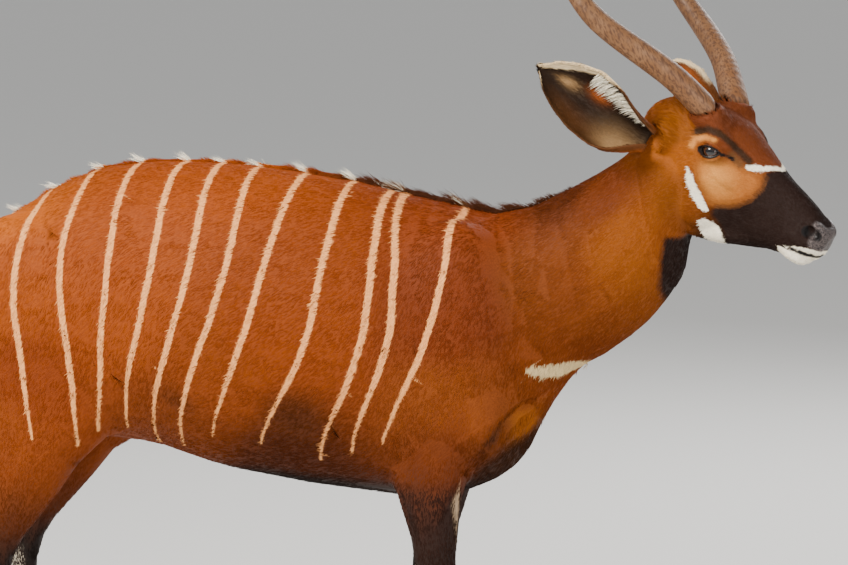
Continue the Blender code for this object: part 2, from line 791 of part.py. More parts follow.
def carve_head(head, collection):
    """Eye sockets behind their lids, nostrils and the line of the mouth."""
    frame = head_matrix()
    for side in (-1.0, 1.0):
        socket = hide_cutter(eye("socket", side, collection, grow=0.0006))
        combine(head, socket, "DIFFERENCE")
        opening = hide_cutter(ellipsoid(
            "lid_opening", at_head(0.001, -0.001, (EYE_SPREAD + 0.022) * side), (0.0195, 0.0150, 0.0110),
            frame, collection, segments=16
        ))
        combine(head, opening, "DIFFERENCE")
        slant = frame @ Matrix.Rotation(math.radians(28.0), 4, "Y") @ Matrix.Rotation(side * 0.5, 4, "Z")
        nostril = hide_cutter(ellipsoid(
            "nostril", at_head(0.230, -0.010, 0.031 * side), (0.0150, 0.0090, 0.0065), slant, collection,
            segments=12
        ))
        combine(head, nostril, "DIFFERENCE")
    combine(head, mouth_cutter(collection), "DIFFERENCE")
    return head


def line_value(line, x):
    """Value at x on a line through points in rising x, and none beyond its ends."""
    for (x0, value0), (x1, value1) in zip(line, line[1:]):
        if x0 <= x <= x1:
            return value0 + (value1 - value0) * (x - x0) / (x1 - x0)
    return 0.0


def back_height(x):
    """Height of the spine's skin over x, from the stations of trunk and neck."""
    return line_value([(row[0], row[1]) for row in TRUNK[:-2]] + [row[0] for row in NECK[1:5]], x)


def lock_rings(root, direction, bend, across, length, width, thickness):
    """Cross-sections of a flat lock that narrows and bends towards its tip."""
    rings = []
    for share, size in ((0.0, 0.75), (0.35, 1.0), (0.72, 0.62), (1.0, 0.10)):
        centre = root + direction * length * share + bend * length * share * share
        along = (direction + bend * 2.0 * share).normalized()
        flat = along.cross(across).normalized()
        side = across * width * 0.5 * size
        deep = flat * thickness * 0.5 * max(size, 0.25)
        rings.append([centre - side, centre - deep, centre + side, centre + deep])
    return rings


def crest_locks():
    """Short upright hair along the spine, in flat locks that lean back over one another."""
    draw = random.Random(11)
    group = make_collection("crest_locks")
    first, last = CREST_LINE[0][0], CREST_LINE[-1][0]
    for index in range(CREST_LOCKS):
        x = first + (last - first) * (index + 0.5) / CREST_LOCKS
        height = line_value(CREST_LINE, x) * draw.uniform(0.90, 1.05)
        lean = draw.uniform(-0.22, 0.22)
        root = Vector((x, draw.uniform(-0.004, 0.004), back_height(x) - CREST_ROOT))
        direction = Vector((-0.60, lean, 0.85))
        bend = Vector((-0.35, lean * 0.4, -0.12))
        across = Vector((0.80, 0.25 * (-1.0) ** index, 0.55)).normalized()
        length = (height + CREST_ROOT) / (direction.z + bend.z)
        rings = lock_rings(root, direction, bend, across, length, CREST_LOCK_WIDTH, CREST_LOCK_DEPTH)
        add_object("crest_lock", skin_rings("crest_lock", rings), group)
    return group


def tail_rows():
    return finer([(Vector((x, 0.0, z)), radius) for x, z, radius in TAIL_PATH], 3)


def tail_core(name, collection, grow=0.0):
    rows = tail_rows()
    sections = []
    last = len(rows) - 1
    for index, (centre, radius) in enumerate(rows):
        ahead = (rows[min(index + 1, last)][0] - rows[max(index - 1, 0)][0]).normalized()
        side = Vector((0.0, 1.0, 0.0))
        up = ahead.cross(side)
        size = radius + grow
        sections.append(Section(centre, side, up, size, size, size, 2.0))
    if grow:
        first = sections[0]
        sections[0] = first._replace(centre=first.centre + Vector((grow, 0.0, 0.0)))
    return loft(name, sections, 12, collection)


def tail_locks():
    """The brush of the tail in flat hanging locks, set spirally round its end."""
    draw = random.Random(23)
    group = make_collection("tail_locks")
    for index in range(TAIL_LOCKS):
        turn = 2.4 * index
        top = TAIL_TUFT_TOP - (TAIL_TUFT_TOP - TAIL_LAST_ROOT) * index / TAIL_LOCKS
        out = Vector((math.cos(turn), math.sin(turn), 0.0))
        root = Vector((TAIL_LOCK_X, 0.0, top)) + out * 0.006
        length = (top - TAIL_TUFT_TIP) * draw.uniform(0.90, 1.0)
        direction = Vector((out.x * 0.17, out.y * 0.17, -1.0))
        across = Vector((-out.y, out.x, 0.0))
        rings = lock_rings(root, direction, out * -0.11, across, length, TAIL_LOCK_WIDTH, TAIL_LOCK_DEPTH)
        add_object("tail_lock", skin_rings("tail_lock", rings), group)
    return group


def union_group(host, group, solver):
    """Fuse a collection of closed meshes onto the host and remove them."""
    modifier = host.modifiers.new("locks", "BOOLEAN")
    modifier.operation = "UNION"
    modifier.operand_type = "COLLECTION"
    modifier.collection = group
    modifier.solver = solver
    apply_modifiers(host)
    for item in list(group.objects):
        bpy.data.objects.remove(item, do_unlink=True)
    bpy.data.collections.remove(group)
    return keep_largest(host)


def hoof(name, foot_x, foot_y, sign, collection):
    """Shoe of horn on one toe, with a flat sole on the floor."""
    sides = 12
    rings = []
    rows = ((0.0, 1.22, 1.06, 0.020), (0.006, 1.24, 1.10, 0.020), (0.030, 1.02, 1.02, 0.013),
            (CORONET, 0.84, 0.96, 0.005))
    for z, long, wide, ahead in rows:
        points = []
        for corner in range(sides):
            turn = 2.0 * math.pi * corner / sides
            taper = 1.0 - 0.32 * math.cos(turn)
            x = foot_x + ahead + TOE_LENGTH * long * 0.86 * math.cos(turn)
            y = foot_y + sign * TOE_SPREAD + TOE_WIDTH * wide * taper * 0.96 * math.sin(turn)
            points.append(Vector((x, y, z)))
        rings.append(points)
    return add_object(name, skin_rings(name, rings), collection)


def dewclaw_rings(foot_x, foot_y, sign, grow):
    """Small horn cone behind the fetlock, its root sunk in the flesh."""
    root = Vector((foot_x - 0.026, foot_y + sign * 0.0150, 0.118))
    along = Vector((-0.52, 0.10 * sign, -0.80)).normalized()
    side = Vector((0.0, 1.0, 0.0))
    up = along.cross(side)
    rings = []
    for share, radius in ((0.0, 0.0085), (0.014, 0.0090), (0.026, 0.0068), (0.033, 0.0025)):
        size = radius + grow
        shift = share - (grow if share == 0.0 else 0.0)
        section = Section(root + along * shift, side, up, size, size, size, 2.0)
        rings.append(ring(section, 6))
    return rings


def leg_outline(kind):
    """Arch, seen from the side, inside which the flesh belongs to the leg."""
    if kind == "fore":
        centre, radii, foot = (0.015, 0.800), (0.125, 0.150), 0.230
    else:
        centre, radii, foot = (-0.815, 0.840), (0.185, 0.160), 0.260
    arch = []
    steps = 14
    for step in range(steps + 1):
        turn = math.pi * step / steps
        arch.append((centre[0] - radii[0] * math.cos(turn), centre[1] + radii[1] * math.sin(turn)))
    left = (centre[0] - foot, 0.560)
    right = (centre[0] + foot, 0.560)
    return [(left[0], -0.10), left] + arch + [right, (right[0], -0.10)]


def part_body(body, flesh, cutters):
    """Part the body skin into torso, neck and the four legs with thin cuts."""
    neck_point = Vector((0.150, 0.0, 1.000))
    neck_normal = Vector((0.92, 0.0, 0.39)).normalized()
    head_point = Vector((0.385, 0.0, 1.220))
    head_normal = Vector((0.975, 0.0, 0.222)).normalized()

    neck = copy_of(body, "neck", flesh)
    neck_front = half_space("neck_front", head_point - head_normal * GAP, head_normal, cutters)
    combine(neck, neck_front, "DIFFERENCE")
    combine(neck, half_space("neck_back", neck_point, -neck_normal, cutters), "DIFFERENCE")

    torso = copy_of(body, "torso", flesh)
    torso_front = half_space("torso_front", neck_point - neck_normal * GAP, neck_normal, cutters)
    combine(torso, torso_front, "DIFFERENCE")

    hoof_top = Vector((-0.4, 0.0, CORONET + GAP))
    coronet = half_space("coronet_cut", hoof_top, Vector((0.0, 0.0, -1.0)), cutters, 2.4)
    legs = []
    for key in feet():
        kind, side_name = key.split("_")
        side = -1.0 if side_name == "right" else 1.0
        near, far = 0.046 * side, 0.400 * side
        inside = prism(key + "_inside", leg_outline(kind), near, far, cutters)
        around = prism(key + "_around", leg_outline(kind), near, far, cutters, grow=GAP)
        leg = copy_of(body, "leg_" + key, flesh)
        combine(leg, inside, "INTERSECT")
        combine(leg, coronet, "DIFFERENCE")
        combine(torso, around, "DIFFERENCE")
        legs.append(keep_largest(leg))
    return keep_largest(neck), keep_largest(torso), legs, (head_point, head_normal)


def place_on_origin(items):
    """Move every piece so that the middle of the whole box stands over the origin."""
    corners = [vert.co for item in items for vert in item.data.vertices]
    low = Vector((min(p.x for p in corners), min(p.y for p in corners), min(p.z for p in corners)))
    high = Vector((max(p.x for p in corners), max(p.y for p in corners), max(p.z for p in corners)))
    shift = Vector((-(low.x + high.x) / 2.0, -(low.y + high.y) / 2.0, -low.z))
    for mesh in {item.data for item in items}:
        mesh.transform(Matrix.Translation(shift))
    print("moved by", [round(value, 4) for value in shift], "size", [round(v, 4) for v in high - low])


def finish_item(item, colour, roughness, smooth):
    tidy_mesh(item)
    item.data.materials.clear()
    item.data.materials.append(make_material(item.name, colour, roughness))
    if smooth:
        item.data.shade_smooth()
        item.data.set_sharp_from_angle(angle=math.radians(50.0))


def build():
    clear_scene()
    animal = make_collection(OBJECT_NAME)
    cutters = make_collection(OBJECT_NAME + "_cutters")

    body = thin_out(body_skin(cutters), BODY_TRIANGLES)
    head = thin_out(head_skin(cutters), HEAD_TRIANGLES)
    union_group(body, crest_locks(), "MANIFOLD")
    neck, torso, legs, (head_point, head_normal) = part_body(body, animal, cutters)
    bpy.data.objects.remove(body, do_unlink=True)

    behind = half_space("head_back", head_point, -head_normal, cutters)
    combine(head, behind, "DIFFERENCE")
    carve_head(head, cutters)
    cutters.objects.unlink(head)
    animal.objects.link(head)

    horns = []
    ears = []
    eyes = []
    for name, side, tip in (("right", -1.0, EAR_TIP_RIGHT), ("left", 1.0, EAR_TIP_LEFT)):
        horn = add_object("horn_" + name, skin_rings("horn", horn_rings(side, 0.0)), animal)
        seat = add_object("horn_seat", skin_rings("seat", horn_rings(side, LOOSE_GAP)), cutters)
        combine(head, hide_cutter(seat), "DIFFERENCE")
        horns.append(horn)
        ear = ear_skin("ear_" + name, side, tip, animal)
        combine(head, hide_cutter(swollen(ear, "ear_seat_" + name, cutters)), "DIFFERENCE")
        ears.append(ear)
        eyes.append(eye("eye_" + name, side, animal))
    keep_largest(head)

    hooves = []
    claws = []
    for leg in legs:
        key = leg.name[len("leg_"):]
        foot_x, foot_y = feet()[key][1]
        for toe_name, sign in (("a", -1.0), ("b", 1.0)):
            hooves.append(hoof("hoof_" + key + "_" + toe_name, foot_x, foot_y, sign, animal))
            claw_mesh = skin_rings("claw", dewclaw_rings(foot_x - 0.010, foot_y, sign, 0.0))
            claws.append(add_object("dewclaw_" + key + "_" + toe_name, claw_mesh, animal))
            seat_mesh = skin_rings("claw_seat", dewclaw_rings(foot_x - 0.010, foot_y, sign, GAP))
            combine(leg, hide_cutter(add_object("claw_seat", seat_mesh, cutters)), "DIFFERENCE")
        keep_largest(leg)

    tail = tail_core("tail", animal)
    union_group(tail, tail_locks(), "MANIFOLD")
    combine(torso, hide_cutter(tail_core("tail_seat", cutters, grow=LOOSE_GAP)), "DIFFERENCE")

    for item in [torso, neck, head] + legs + ears:
        finish_item(item, COAT, 0.55, True)
    finish_item(tail, DARK_COAT, 0.6, True)
    for item in horns:
        finish_item(item, HORN_COLOUR, 0.45, True)
    for item in hooves + claws:
        finish_item(item, HOOF_COLOUR, 0.4, True)
    for item in eyes:
        finish_item(item, EYE_COLOUR, 0.05, True)
    everything = [torso, neck, head, tail] + legs + ears + horns + eyes + hooves + claws
    place_on_origin(everything)
    for item in everything:
        print(item.name, len(item.data.polygons))
    print("triangles", sum(len(item.data.polygons) for item in everything))


build()
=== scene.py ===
# %% [markdown]
# # A mountain bongo cow in her coat
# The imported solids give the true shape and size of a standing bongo, an antelope of the African forests.
# A living one is seen through her hair, so this lesson lays one smooth skin just inside the solids and
# grows some two hundred thousand small tufts on it. Skin and tufts ask the same function for their colour.

# %% Load the solids
import json
import math

import bmesh
import bpy
import numpy as np
from mathutils import Matrix, Vector, noise
from mathutils.bvhtree import BVHTree

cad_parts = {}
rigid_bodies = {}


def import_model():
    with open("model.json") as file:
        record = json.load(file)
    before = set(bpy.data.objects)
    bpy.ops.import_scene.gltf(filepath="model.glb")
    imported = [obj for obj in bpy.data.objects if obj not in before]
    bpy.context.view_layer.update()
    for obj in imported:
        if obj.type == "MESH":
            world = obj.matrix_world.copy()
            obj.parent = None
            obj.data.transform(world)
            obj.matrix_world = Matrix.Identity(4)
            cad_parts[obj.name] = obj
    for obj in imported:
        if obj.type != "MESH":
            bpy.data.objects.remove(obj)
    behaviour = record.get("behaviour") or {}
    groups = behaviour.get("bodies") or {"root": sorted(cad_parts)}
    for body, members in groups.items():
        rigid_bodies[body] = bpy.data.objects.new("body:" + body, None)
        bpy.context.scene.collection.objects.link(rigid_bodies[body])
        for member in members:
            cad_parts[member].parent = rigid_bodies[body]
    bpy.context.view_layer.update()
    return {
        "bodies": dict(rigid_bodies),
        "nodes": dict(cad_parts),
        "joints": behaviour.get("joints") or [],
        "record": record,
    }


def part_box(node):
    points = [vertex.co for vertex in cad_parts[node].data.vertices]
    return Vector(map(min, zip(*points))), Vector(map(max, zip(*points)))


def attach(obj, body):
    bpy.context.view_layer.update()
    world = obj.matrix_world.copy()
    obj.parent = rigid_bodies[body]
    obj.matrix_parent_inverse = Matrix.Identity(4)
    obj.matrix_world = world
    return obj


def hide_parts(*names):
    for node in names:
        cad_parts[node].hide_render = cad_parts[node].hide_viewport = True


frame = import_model()
nodes = frame["nodes"]

# %% [markdown]
# ## Where things are
# Most sizes of an animal are told from its withers, the top of the shoulder. The head has a frame of its
# own, because it is turned and bowed: forward along the nose, up out of the forehead and to its left.
# The two eyes fix both frames, so everything follows the solids.

# %% Frames of the body and the head
HEAD_TURN = math.radians(-16.0)
HEAD_DIP = math.radians(35.6)
EYES_FROM_WITHERS = Vector((0.5415, -0.0436, 1.2895))


def middle_of(name):
    low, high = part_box(name)
    return (Vector(low) + Vector(high)) / 2.0


EYES = (middle_of("eye_right") + middle_of("eye_left")) / 2.0
WITHERS = EYES - EYES_FROM_WITHERS
FORWARD = Vector((
    math.cos(HEAD_DIP) * math.cos(HEAD_TURN), math.cos(HEAD_DIP) * math.sin(HEAD_TURN), -math.sin(HEAD_DIP)
))
LEFT = Vector((-math.sin(HEAD_TURN), math.cos(HEAD_TURN), 0.0))
UP = FORWARD.cross(LEFT)
HEAD_AXES = np.array([FORWARD, UP, LEFT])


def at_head(forward, up, left):
    """World place of a point given in the head's frame."""
    return EYES + FORWARD * forward + UP * up + LEFT * left


def at_body(x, y, z):
    """World place of a point told from the foot of the withers."""
    return WITHERS + Vector((x, y, z))


def in_head(points):
    """Forward, up and left of world points, from the middle between the eyes."""
    return (points - np.array(EYES)) @ HEAD_AXES.T


def in_body(points):
    """World points told from the foot of the withers."""
    return points - np.array(WITHERS)


print("withers at", [round(value, 4) for value in WITHERS], "eyes at", [round(value, 4) for value in EYES])

# %% [markdown]
# ## The camera
# The photograph looks at the right flank from a little ahead of square, from about the height of the
# back. A long lens keeps the perspective flat. The view's own width and its middle are named in metres.

# %% Camera
CAMERA_TURN = math.radians(18.0)
CAMERA_RISE = math.radians(7.0)
CAMERA_DISTANCE = 8.0
VIEW_WIDTH = 1.611
VIEW_MIDDLE = (-0.059, 1.0102)
SENSOR_WIDTH = 36.0

view_right = Vector((math.cos(CAMERA_TURN), math.sin(CAMERA_TURN), 0.0))
view_ahead = Vector((
    -math.sin(CAMERA_TURN) * math.cos(CAMERA_RISE), math.cos(CAMERA_TURN) * math.cos(CAMERA_RISE),
    -math.sin(CAMERA_RISE)
))
view_up = view_right.cross(view_ahead)
view_target = WITHERS + view_right * VIEW_MIDDLE[0] + view_up * VIEW_MIDDLE[1]

camera_data = bpy.data.cameras.new("camera")
camera_data.sensor_width = SENSOR_WIDTH
camera_data.lens = SENSOR_WIDTH * CAMERA_DISTANCE / VIEW_WIDTH
camera = bpy.data.objects.new("camera", camera_data)
camera.matrix_world = Matrix((
    (view_right.x, view_up.x, -view_ahead.x, view_target.x - view_ahead.x * CAMERA_DISTANCE),
    (view_right.y, view_up.y, -view_ahead.y, view_target.y - view_ahead.y * CAMERA_DISTANCE),
    (view_right.z, view_up.z, -view_ahead.z, view_target.z - view_ahead.z * CAMERA_DISTANCE),
    (0.0, 0.0, 0.0, 1.0),
))
bpy.context.scene.collection.objects.link(camera)
bpy.context.scene.camera = camera
print("camera lens", round(camera_data.lens, 1), "mm")

# %% [markdown]
# ## Helpers for pieces
# Each piece is one mesh with its place in its vertices. Modifiers are used up at once, so that the later
# steps can read the true surface.

# %% Pieces
FAR_AWAY = 9.0


def add_piece(name, mesh):
    """A mesh shown as one piece of the animal."""
    piece = bpy.data.objects.new(name, mesh)
    bpy.context.scene.collection.objects.link(piece)
    return piece


def piece_from(name, shape):
    mesh = bpy.data.meshes.new(name)
    shape.to_mesh(mesh)
    shape.free()
    return add_piece(name, mesh)


def use_modifiers(piece):
    """Put the mesh that the modifiers make in place of the piece's own."""
    graph = bpy.context.evaluated_depsgraph_get()
    mesh = bpy.data.meshes.new_from_object(piece.evaluated_get(graph))
    piece.modifiers.clear()
    old = piece.data
    piece.data = mesh
    bpy.data.meshes.remove(old)
    return piece


def add_modifier(piece, kind, **values):
    modifier = piece.modifiers.new(kind.lower(), kind)
    for name, value in values.items():
        setattr(modifier, name, value)
    return modifier


def read_points(mesh):
    """The mesh's vertices as an array of places."""
    flat = np.empty(len(mesh.vertices) * 3, dtype=np.float32)
    mesh.vertices.foreach_get("co", flat)
    return flat.reshape(-1, 3).astype(float)


def write_points(mesh, points):
    mesh.vertices.foreach_set("co", points.astype(np.float32).ravel())
    mesh.update()


def read_normals(mesh):
    flat = np.empty(len(mesh.vertices) * 3, dtype=np.float32)
    mesh.vertex_normals.foreach_get("vector", flat)
    return flat.reshape(-1, 3).astype(float)


def move_points(shape, places):
    """Put the vertices of an open mesh at new places."""
    for vert, place in zip(shape.verts, places):
        vert.co = place


def shade_smooth(piece):
    piece.data.polygons.foreach_set("use_smooth", [True] * len(piece.data.polygons))


def flat_grid(columns, rows):
    """A flat grid from -1 to 1 each way, and the places of its vertices."""
    shape = bmesh.new()
    bmesh.ops.create_grid(shape, x_segments=columns, y_segments=rows, size=1.0)
    return shape, np.array([vert.co[:] for vert in shape.verts])


def add_ring(shape, middle, ahead, radius, sides):
    """A circle across a line that runs ahead, as a loop of edges."""
    turn = Vector((0.0, 0.0, 1.0)).rotation_difference(Vector(ahead)).to_matrix().to_4x4()
    place = Matrix.Translation(Vector(middle)) @ turn
    made = bmesh.ops.create_circle(shape, segments=sides, radius=radius, matrix=place)
    return list({edge for vert in made["verts"] for edge in vert.link_edges})


def smooth_between(low, high, values):
    """0 below low, 1 above high and a soft step between them."""
    share = np.clip((values - low) / (high - low), 0.0, 1.0)
    return share * share * (3.0 - 2.0 * share)


def bell(points, centre, reach):
    """1 at the centre, falling softly to nothing over about two reaches."""
    return np.exp(-((points - np.array(centre)) ** 2).sum(1) / (reach * reach))


def to_line(points, line):
    """Distance of points from a line through a few places."""
    nearest = np.full(len(points), FAR_AWAY)
    for start, end in zip(line, line[1:]):
        start, end = np.array(start), np.array(end)
        along = np.clip((points - start) @ (end - start) / ((end - start) @ (end - start)), 0.0, 1.0)
        gap = np.linalg.norm(points - start - along[:, None] * (end - start), axis=1)
        nearest = np.minimum(nearest, gap)
    return nearest


# %% [markdown]
# ## The skin
# Head, neck, trunk and legs are parted in the solids and faceted. Copies of them are swollen by a hair,
# so that they overlap, and wrapped in one close net of squares. Smoothing the net takes the facets away
# from the body, and only lightly touches the head. The locks of the crest are first pressed down to the
# line of the back, because real hair takes their place.

# %% Line of the back
# x and height from the foot of the withers
BACK_LINE = [
    (-1.025, 1.020), (-0.985, 1.062), (-0.910, 1.113), (-0.800, 1.180), (-0.700, 1.223), (-0.580, 1.238),
    (-0.450, 1.238), (-0.310, 1.226), (-0.180, 1.209), (-0.060, 1.184), (0.040, 1.165), (0.100, 1.158),
    (0.165, 1.177), (0.235, 1.213), (0.308, 1.254), (0.370, 1.300),
]
CREST_REACH = (-0.95, 0.24)
CREST_WIDTH = 0.045
PRESS_DEPTH = 0.004


def back_height(x):
    """Height of the back's skin at places x behind or before the withers."""
    return np.interp(x, *zip(*BACK_LINE))


def press_crest(points):
    """Bring everything above the line of the back down to just inside it."""
    body = in_body(points)
    near = (abs(body[:, 1]) < CREST_WIDTH) & (body[:, 0] > CREST_REACH[0]) & (body[:, 0] < CREST_REACH[1])
    line = back_height(body[:, 0]) - PRESS_DEPTH
    lower = near & (body[:, 2] > line)
    points[lower, 2] = line[lower] + WITHERS.z
    return points


# %% Wrap the flesh
FLESH = ["torso", "neck", "head", "leg_fore_right", "leg_fore_left", "leg_hind_right", "leg_hind_left"]
WELD = 0.000001
SKIN_NET = 0.0028
SKIN_TRIANGLES = 150000
OVERLAP = 0.0006
BODY_SMOOTHING = 90
HEAD_SMOOTHING = 5
WEIGHT_STEPS = 10
HEAD_BACK = (-0.19, -0.12)
HEAD_REACH = (0.34, 0.28)


def weigh(piece, name, weights):
    """A vertex group with these weights, in ten steps."""
    group = piece.vertex_groups.new(name=name)
    steps = np.round(weights * WEIGHT_STEPS).astype(int)
    for step in range(1, WEIGHT_STEPS + 1):
        group.add([int(index) for index in np.nonzero(steps == step)[0]], step / WEIGHT_STEPS, "REPLACE")
    return group.name


def head_share(points):
    """1 on the head and 0 on the neck and body, with a soft edge behind the jaw."""
    head = in_head(points)
    return smooth_between(*HEAD_BACK, head[:, 0]) * smooth_between(*HEAD_REACH, np.linalg.norm(head, axis=1))


flesh = bmesh.new()
for name in FLESH:
    flesh.from_mesh(nodes[name].data)
bmesh.ops.remove_doubles(flesh, verts=flesh.verts, dist=WELD)
skin = piece_from("skin", flesh)
write_points(skin.data, press_crest(read_points(skin.data)))
add_modifier(skin, "DISPLACE", mid_level=0.0, strength=OVERLAP)
add_modifier(skin, "REMESH", mode="VOXEL", voxel_size=SKIN_NET)
use_modifiers(skin)
places = read_points(skin.data)
body_group = weigh(skin, "body", 1.0 - head_share(places))
add_modifier(skin, "SMOOTH", factor=0.5, iterations=HEAD_SMOOTHING)
add_modifier(skin, "SMOOTH", factor=0.5, iterations=BODY_SMOOTHING, vertex_group=body_group)
use_modifiers(skin)
print("net of", len(skin.data.polygons), "squares")

# %% [markdown]
# ## Folds of head and body
# The net is still even and dense, so it is modelled now, like clay: small soft swellings and hollows on
# brow, cheek, nostril and lip, and longer ones where neck, shoulder, arm and thigh meet.

# %% Model the forms
# name, place in the head's frame, reach, height
FACE_FORMS = [
    ("brow", (-0.008, 0.030, 0.062), 0.016, 0.0026),
    ("brow_back", (-0.040, 0.006, 0.076), 0.014, 0.0014),
    ("brow_hollow", (0.020, 0.040, 0.026), 0.022, -0.0012),
    ("tear_hollow", (0.044, 0.000, 0.056), 0.014, -0.0026),
    ("cheek_ridge", (0.070, -0.046, 0.050), 0.018, 0.0022),
    ("cheek_ridge_back", (0.026, -0.046, 0.072), 0.018, 0.0024),
    ("cheek_hollow", (0.110, -0.070, 0.046), 0.024, -0.0022),
    ("nose_wing", (0.224, 0.006, 0.030), 0.010, 0.0034),
    ("nose_wing_low", (0.232, -0.032, 0.030), 0.007, 0.0024),
    ("nostril_pit", (0.227, -0.011, 0.036), 0.0095, -0.0100),
    ("nostril_front", (0.239, -0.009, 0.028), 0.0070, -0.0055),
    ("nose_groove", (0.262, -0.012, 0.000), 0.006, -0.0016),
    ("upper_lip", (0.205, -0.050, 0.034), 0.015, 0.0018),
    ("lower_lip", (0.215, -0.074, 0.024), 0.012, 0.0012),
    ("temple", (-0.040, 0.012, 0.070), 0.018, -0.0012),
    ("jaw_angle", (-0.030, -0.120, 0.050), 0.026, 0.0022),
]
ARM_LINE = ((0.168, 0.070, 0.808), (0.131, 0.128, 0.774), (0.100, 0.134, 0.727), (0.062, 0.114, 0.672))
# name, line beside the body's mid-plane, reach, height
BODY_FORMS = [
    ("neck_foot", ((0.100, 0.100, 1.160), (0.145, 0.135, 1.050), (0.185, 0.120, 0.920)), 0.030, -0.0060),
    ("shoulder_blade", ((0.040, 0.110, 1.120), (0.060, 0.165, 0.980), (0.080, 0.170, 0.860)), 0.035, 0.0040),
    ("arm_front", ARM_LINE, 0.011, -0.0100),
    ("elbow_back", ((-0.085, 0.170, 0.800), (-0.055, 0.150, 0.700)), 0.022, -0.0050),
    ("hip_hollow", ((-0.620, 0.190, 1.080), (-0.640, 0.210, 0.960)), 0.060, -0.0060),
    ("stifle_fold", ((-0.640, 0.205, 0.860), (-0.600, 0.190, 0.770)), 0.030, -0.0060),
    ("thigh_split", ((-0.900, 0.150, 0.960), (-0.900, 0.160, 0.820)), 0.026, -0.0030),
    ("crease_back", ((0.205, 0.120, 1.080), (0.235, 0.120, 0.960)), 0.008, -0.0016),
    ("crease_middle", ((0.245, 0.110, 1.110), (0.275, 0.110, 0.980)), 0.008, -0.0018),
    ("crease_front", ((0.285, 0.100, 1.130), (0.315, 0.100, 1.010)), 0.008, -0.0014),
]


def model_forms(points, normals):
    """Push the skin out or in along its normals at each form, on both sides."""
    head = in_head(points)
    head[:, 2] = abs(head[:, 2])
    push = np.zeros(len(points))
    for _, centre, reach, height in FACE_FORMS:
        push += bell(head, centre, reach) * height
    body = in_body(points)
    body[:, 1] = abs(body[:, 1])
    for _, line, reach, height in BODY_FORMS:
        push += np.exp(-(to_line(body, line) / reach) ** 2) * height
    return points + normals * push[:, None]


places = read_points(skin.data)
write_points(skin.data, model_forms(places, read_normals(skin.data)))
print("face forms", len(FACE_FORMS), "body forms", len(BODY_FORMS))

# %% [markdown]
# ## Stripes told early
# Thirteen white stripes ring the trunk. The skin has to stay finely meshed beside them, or their
# edges would smear, so their lines are told before the net is thinned, as a distance from the nearest one.

# %% Stripes
# x of each stripe where it leaves the crest and at every tenth of a metre below, from 1.2 m down to 0.7 m
STRIPES = [
    (-0.965, -0.972, -0.965, -0.950, -0.935, -0.920),
    (-0.880, -0.895, -0.898, -0.885, -0.865, -0.850),
    (-0.800, -0.808, -0.814, -0.804, -0.790, -0.780),
    (-0.707, -0.725, -0.721, -0.705, -0.700, -0.700),
    (-0.622, -0.622, -0.625, -0.632, -0.650, -0.670),
    (-0.530, -0.525, -0.537, -0.562, -0.595, -0.625),
    (-0.455, -0.443, -0.461, -0.492, -0.530, -0.565),
    (-0.380, -0.369, -0.390, -0.425, -0.468, -0.505),
    (-0.286, -0.297, -0.317, -0.345, -0.390, -0.440),
    (-0.192, -0.192, -0.200, -0.220, -0.280, -0.341),
    (-0.118, -0.109, -0.105, -0.118, -0.162, -0.220),
    (-0.096, -0.071, -0.060, -0.070, -0.115, -0.155),
    (0.021, 0.036, 0.020, -0.010, -0.057, -0.105),
]
STRIPE_HEIGHTS = [1.2, 1.1, 1.0, 0.9, 0.8, 0.7]
STRIPE_FOOT = 0.715
STRIPE_HALF = 0.0060
STRIPE_TAPER = 0.35
STRIPE_EDGE = 0.0010
STRIPE_BLUR = 0.05
LEFT_SHIFT = 0.008
NO_MARK = 0.05
CRESCENT = (
    (0.172, 0.103, 0.875), (0.200, 0.080, 0.870), (0.226, 0.055, 0.872), (0.250, 0.028, 0.873),
    (0.262, 0.000, 0.873),
)
# distance from the mid-plane, and half the crescent's width there
CRESCENT_OUT = (0.0, 0.050, 0.090, 0.106)
CRESCENT_HALF = (0.013, 0.018, 0.012, 0.002)
CRESCENT_START = 0.12


def ragged(points, size, height):
    """Smooth random shifts of the points, for the ragged edge of a mark in hair."""
    shifts = [noise.noise_vector(Vector(point) / size) for point in points]
    return np.array(shifts) * height


def stripe_line(stations, height):
    """x of a stripe at each height, without corners."""
    offsets = np.linspace(-STRIPE_BLUR, STRIPE_BLUR, 5)
    heights = np.clip(height[:, None] + offsets, STRIPE_HEIGHTS[-1], STRIPE_HEIGHTS[0])
    return np.interp(heights, STRIPE_HEIGHTS[::-1], stations[::-1]).mean(1)


def stripe_gap(points):
    """Distance outside the edge of the nearest stripe, negative within it, with a slightly ragged edge."""
    body = in_body(points)
    edge = body + ragged(points, 0.010, 0.0007) + ragged(points, 0.06, 0.0020)
    left = (body[:, 1] > 0.0) * LEFT_SHIFT
    gap = np.full(len(points), NO_MARK)
    for number, stations in enumerate(STRIPES):
        shift = left * math.sin(number * 2.3)
        foot = STRIPE_FOOT + 0.02 * math.sin(number * 1.7)
        full = smooth_between(foot, foot + 0.18, body[:, 2])
        half = STRIPE_HALF * (STRIPE_TAPER + (1.0 - STRIPE_TAPER) * full)
        beside = abs(edge[:, 0] - stripe_line(stations, body[:, 2]) - shift) - half
        gap = np.minimum(gap, np.maximum(beside, foot - body[:, 2]))
    trunk = (body[:, 0] < 0.10) & (body[:, 2] > 0.60) & (head_share(points) < 0.01)
    return np.where(trunk, gap, NO_MARK)


def crescent_gap(points):
    """Distance outside the pale crescent of the chest, with a ragged edge."""
    body = in_body(points) + ragged(points, 0.007, 0.0030)
    body[:, 1] = abs(body[:, 1])
    half = np.interp(body[:, 1], CRESCENT_OUT, CRESCENT_HALF)
    return np.where(body[:, 0] > CRESCENT_START, to_line(body, CRESCENT) - half, NO_MARK)


def stripe_share(points):
    """1 in a white stripe, 0 elsewhere."""
    return smooth_between(STRIPE_EDGE, -STRIPE_EDGE, stripe_gap(points))


print("stripes", len(STRIPES))

